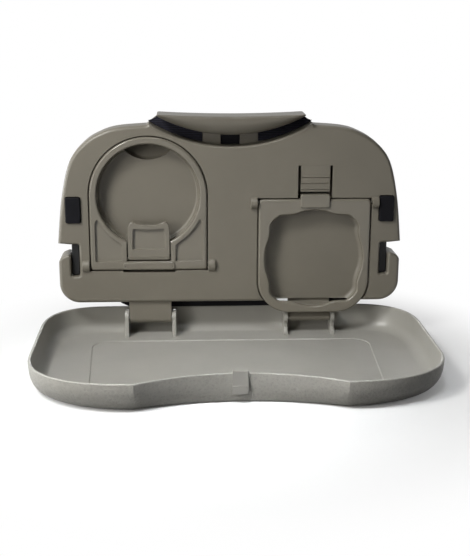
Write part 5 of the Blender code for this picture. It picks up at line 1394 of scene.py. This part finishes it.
def make_hooks():
    """Plastic hooks that sit in the side notches, with a ribbed plate behind the strap's end."""
    near = SLOT_INNER_X + 2 * FIT_GAP
    far = SLOT_INNER_X + SLOT_WIDTH - 2 * FIT_GAP
    tall = (SLOT_TOP - SLOT_BOTTOM) / 2 - RUNNING_GAP
    low, high = SEAT_STRAP_Z - tall, SEAT_STRAP_Z + tall
    plate_y = STRAP_BACK_Y + FIT_GAP
    back = plate_y + HOOK_PLATE
    mouth = PANEL_BOTTOM + SLOT_TOP - MOUTH_HEIGHT - LIP_DROP
    plate_end = near - HOOK_PLATE_INNER
    flange_end = far + HOOK_PLATE_OUTER
    flange_y = COVER_BACK_Y + FIT_GAP
    lap = FIT_GAP * 4
    for name, side in SIDES:
        hook = side_box("hook", side, near, far, FACE_Y + HOOK_FRONT_DEPTH, back, low, high, HOOK_EDGE)
        join(hook, side_box("plate", side, plate_end, near + lap, plate_y, back, low, high, EDGE))
        flange_back = back - FINEST_EDGE
        join(hook, side_box("flange", side, far - lap, flange_end, flange_y, flange_back, low, mouth, EDGE))
        for share in HOOK_RIB_SHARES:
            start = near - HOOK_PLATE_INNER * share
            end = start + HOOK_RIB_WIDTH
            depth = back - RIB_CUT, back + OVERLAP
            heights = SEAT_STRAP_Z - tall * HOOK_RIB_REACH, SEAT_STRAP_Z + tall * HOOK_RIB_REACH
            cut(hook, side_box("rib", side, start, end, *depth, *heights, FINEST_EDGE))
        show(hook, "panel", NYLON_FINISH, "black_nylon", "strap_hook_" + name, angle=40)


def make_slider():
    reach = SEAT_STRAP_WIDTH / 2 + RUNNING_GAP
    low = (SLIDER_X, COVER_BACK_Y + FIT_GAP, SEAT_STRAP_Z - reach - SLIDER_WALL)
    end = SLIDER_X + SLIDER_WIDTH
    back = STRAP_BACK_Y + FIT_GAP + SLIDER_WALL
    high = (end, back, SEAT_STRAP_Z + reach + SLIDER_WALL)
    slider = box("sliding_keeper", low, high, SOFT_EDGE)
    under_low = (SLIDER_X - CUTTER_REACH, STRAP_Y - FIT_GAP, SEAT_STRAP_Z - reach)
    under_high = (end + CUTTER_REACH, STRAP_BACK_Y + FIT_GAP, SEAT_STRAP_Z + reach)
    cut(slider, plain_box("under", under_low, under_high))
    for i in range(3):
        x = SLIDER_X + SLIDER_WIDTH * (i + 1) / 4
        rib_low = (x - RIB_CUT, back - RIB_CUT, low[2] + SLIDER_RIB_MARGIN)
        rib_high = (x + RIB_CUT, back + OVERLAP, high[2] - SLIDER_RIB_MARGIN)
        cut(slider, box("rib", rib_low, rib_high, FINEST_EDGE))
    show(slider, "slider", NYLON_FINISH, "black_nylon", "strap_slider", angle=40)


def make_anchors():
    reach = HEADREST_STRAP_WIDTH / 2 + RUNNING_GAP
    plate_y = STRAP_BACK_Y + FIT_GAP
    front = COVER_BACK_Y + FIT_GAP
    back = plate_y + ANCHOR_PLATE
    for name, side in SIDES:
        middle = side * ANCHOR_X
        left, right = middle - ANCHOR_WIDTH / 2, middle + ANCHOR_WIDTH / 2
        low = (left, front, HEADREST_STRAP_Z - reach - ANCHOR_WALL)
        high = (right, back, HEADREST_STRAP_Z + reach + ANCHOR_WALL)
        anchor = box("clamp_plate_" + name, low, high, HOOK_EDGE)
        under_low = (left - CUTTER_REACH, front - CUTTER_REACH, HEADREST_STRAP_Z - reach)
        cut(anchor, plain_box("under", under_low, (right + CUTTER_REACH, plate_y, HEADREST_STRAP_Z + reach)))
        bore = circle((middle, HEADREST_STRAP_Z), SCREW_BORE_RADIUS, ROUND_SIDES)
        pierce(anchor, bore, plate_y, back, FINE_EDGE, 3)
        show(anchor, "panel", NYLON_FINISH, "black_nylon", "strap_anchor_" + name, angle=40)


def make_pads():
    """Soft pads, crowned towards the middle, with a pinched edge and slight puckers round it."""
    front = COVER_BACK_Y + FIT_GAP
    for name, side in SIDES:
        middle = side * PAD_X
        low = (middle - PAD_WIDTH / 2, PANEL_BOTTOM + PAD_RISE)
        high = (middle + PAD_WIDTH / 2, PANEL_BOTTOM + PAD_RISE + PAD_HEIGHT)
        centre_z = (low[1] + high[1]) / 2
        outline = rounded_box(low, high, PAD_ROUNDING, 12)
        dense = []
        for a, b in zip(outline, outline[1:] + outline[:1]):
            parts = max(1, int(math.dist(a, b) / PAD_POINT_SPACING))
            steps = [(b[0] - a[0]) / parts, (b[1] - a[1]) / parts]
            dense += [(a[0] + steps[0] * i, a[1] + steps[1] * i) for i in range(parts)]
        rings = []
        for depth_share, size_share, pucker in PAD_SHARES:
            y = front + PAD_THICKNESS * depth_share
            ring = []
            for number, (x, z) in enumerate(dense):
                share = size_share + pucker * math.sin(number * 1.1) * math.sin(number * 0.37 + 1)
                ring.append((middle + (x - middle) * share, y, centre_z + (z - centre_z) * share))
            rings.append(ring)
        pad = loft("foam_pad_" + name, rings)
        show(pad, "panel", FOAM_FINISH, "grey_foam", "seat_pad_" + name, angle=60)


def retouch(names, finish):
    """Gives the CAD nodes that stay in view their own finish."""
    for name in names:
        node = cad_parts[name]
        node.data.materials.clear()
        node.data.materials.append(finish)


def floor_finish():
    """Plain pale floor: lit near the object, and the backdrop's white further out."""
    made = new_finish("pale_floor")
    made.fill(made.shader, {"Roughness": 0.9, "Specular IOR Level": 0.0})
    glow = made.add("ShaderNodeEmission")
    made.fill(glow, {"Color": (1, 1, 1, 1)})
    path = made.add("ShaderNodeLightPath")
    away = made.add("ShaderNodeVectorMath", operation="LENGTH")
    made.join(made.place, away.inputs[0])
    fade = made.add("ShaderNodeMapRange", interpolation_type="SMOOTHSTEP")
    made.fill(fade, {"From Min": FLOOR_FADE[0], "From Max": FLOOR_FADE[1]})
    made.join(away.outputs["Value"], fade.inputs["Value"])
    seen = made.math("ADD", path.outputs["Is Camera Ray"], path.outputs["Is Glossy Ray"])
    seen = made.math("MINIMUM", seen, 1.0)
    made.join(made.between(seen, FLOOR_BOUNCE, FLOOR_SEEN), made.shader.inputs["Base Color"])
    mix = made.add("ShaderNodeMixShader")
    made.join(made.math("MULTIPLY", fade.outputs["Result"], seen), mix.inputs["Fac"])
    made.join(made.shader.outputs["BSDF"], mix.inputs[1])
    made.join(glow.outputs["Emission"], mix.inputs[2])
    made.join(mix.outputs["Shader"], made.tree.nodes["Material Output"].inputs["Surface"])
    return made.owner


def make_floor():
    mesh = bpy.data.meshes.new("floor")
    corner_signs = ((-1, -1), (1, -1), (1, 1), (-1, 1))
    mesh.from_pydata([(FLOOR_REACH * x, FLOOR_REACH * y, 0) for x, y in corner_signs], [], [(0, 1, 2, 3)])
    floor = new_object("floor", mesh)
    mesh.materials.append(floor_finish())
    floor.location.z = -FLOOR_DROP


def make_world():
    """White for the camera, soft even light, and reflections of a studio that darkens to the right front."""
    world = bpy.data.worlds.new("studio")
    bpy.context.scene.world = world
    made = Nodes(world)
    background = made.tree.nodes["Background"]
    path = made.add("ShaderNodeLightPath")
    facing = made.add("ShaderNodeVectorMath", operation="DOT_PRODUCT")
    made.join(made.place.node.outputs["Generated"], facing.inputs[0])
    facing.inputs[1].default_value = BRIGHT_SIDE
    room = made.between(facing.outputs["Value"], DIM_SIDE, BRIGHT_LEVEL)
    made.fill(room.node, {"From Min": ROOM_FADE[0], "From Max": ROOM_FADE[1]})
    room.node.interpolation_type = "SMOOTHSTEP"
    clear = made.math("MAXIMUM", path.outputs["Is Camera Ray"], path.outputs["Is Transmission Ray"])
    reflected = made.between(path.outputs["Is Glossy Ray"], WORLD_LIGHT, room)
    made.join(made.between(clear, reflected, 1.0), background.inputs["Strength"])
    made.fill(background, {"Color": (1, 1, 1, 1)})


def make_lights():
    for name, place, target, size, power, colour, spread in LIGHTS:
        data = bpy.data.lights.new(name, "AREA")
        data.shape = "DISK"
        data.size = size
        data.spread = math.radians(spread)
        data.energy = power
        data.color = colour
        lamp = new_object(name, data)
        lamp.location = place
        lamp.rotation_mode = "QUATERNION"
        lamp.rotation_quaternion = (Vector(target) - Vector(place)).to_track_quat("-Z", "Y")


def make_camera():
    data = bpy.data.cameras.new("camera")
    data.sensor_width = SENSOR_MM
    data.lens = FOCAL_PIXELS * SENSOR_MM / LONG_SIDE_PIXELS
    camera = new_object("camera", data)
    turn = Matrix.Rotation(math.radians(CAMERA_YAW), 4, "Z")
    turn @= Matrix.Rotation(math.radians(90 - CAMERA_PITCH), 4, "X")
    turn @= Matrix.Rotation(math.radians(CAMERA_ROLL), 4, "Z")
    camera.matrix_world = Matrix.Translation(CAMERA_PLACE) @ turn
    bpy.context.scene.camera = camera


def main():
    make_camera()
    make_world()
    make_lights()
    make_floor()
    make_tray()
    make_latch_tab()
    make_hinge("left", -1, False)
    make_hinge("right", 1, True)
    make_panel()
    make_cover()
    make_grip()
    make_liners()
    make_ring()
    make_tongue()
    make_holder()
    make_clip()
    make_bumpers()
    make_stop_strip()
    seat_reach = SLOT_INNER_X + FIT_GAP
    seat_stitches = [seat_reach - place for place in SEAT_STITCH_PLACES]
    make_strap("seat_strap", seat_reach, SEAT_STRAP_WIDTH, SEAT_STRAP_Z, seat_stitches)
    head_stitches = [ANCHOR_X - ANCHOR_WIDTH / 2 - place for place in HEADREST_STITCH_PLACES]
    make_strap("headrest_strap", HEADREST_STRAP_HALF, HEADREST_STRAP_WIDTH, HEADREST_STRAP_Z, head_stitches)
    make_hooks()
    make_slider()
    make_anchors()
    make_pads()
    retouch([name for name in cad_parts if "screw" in name], STEEL_FINISH)
    # The stub pins get the dark steel as painted shade in the gaps at the bosses.
    stubs = ("ring_pin_left", "ring_pin_right", "holder_pin_left", "holder_pin_right", "tongue_pin")
    retouch(stubs, PIN_PAINTED_SHADE_FINISH)
    bpy.context.scene.view_settings.view_transform = "Standard"


main()
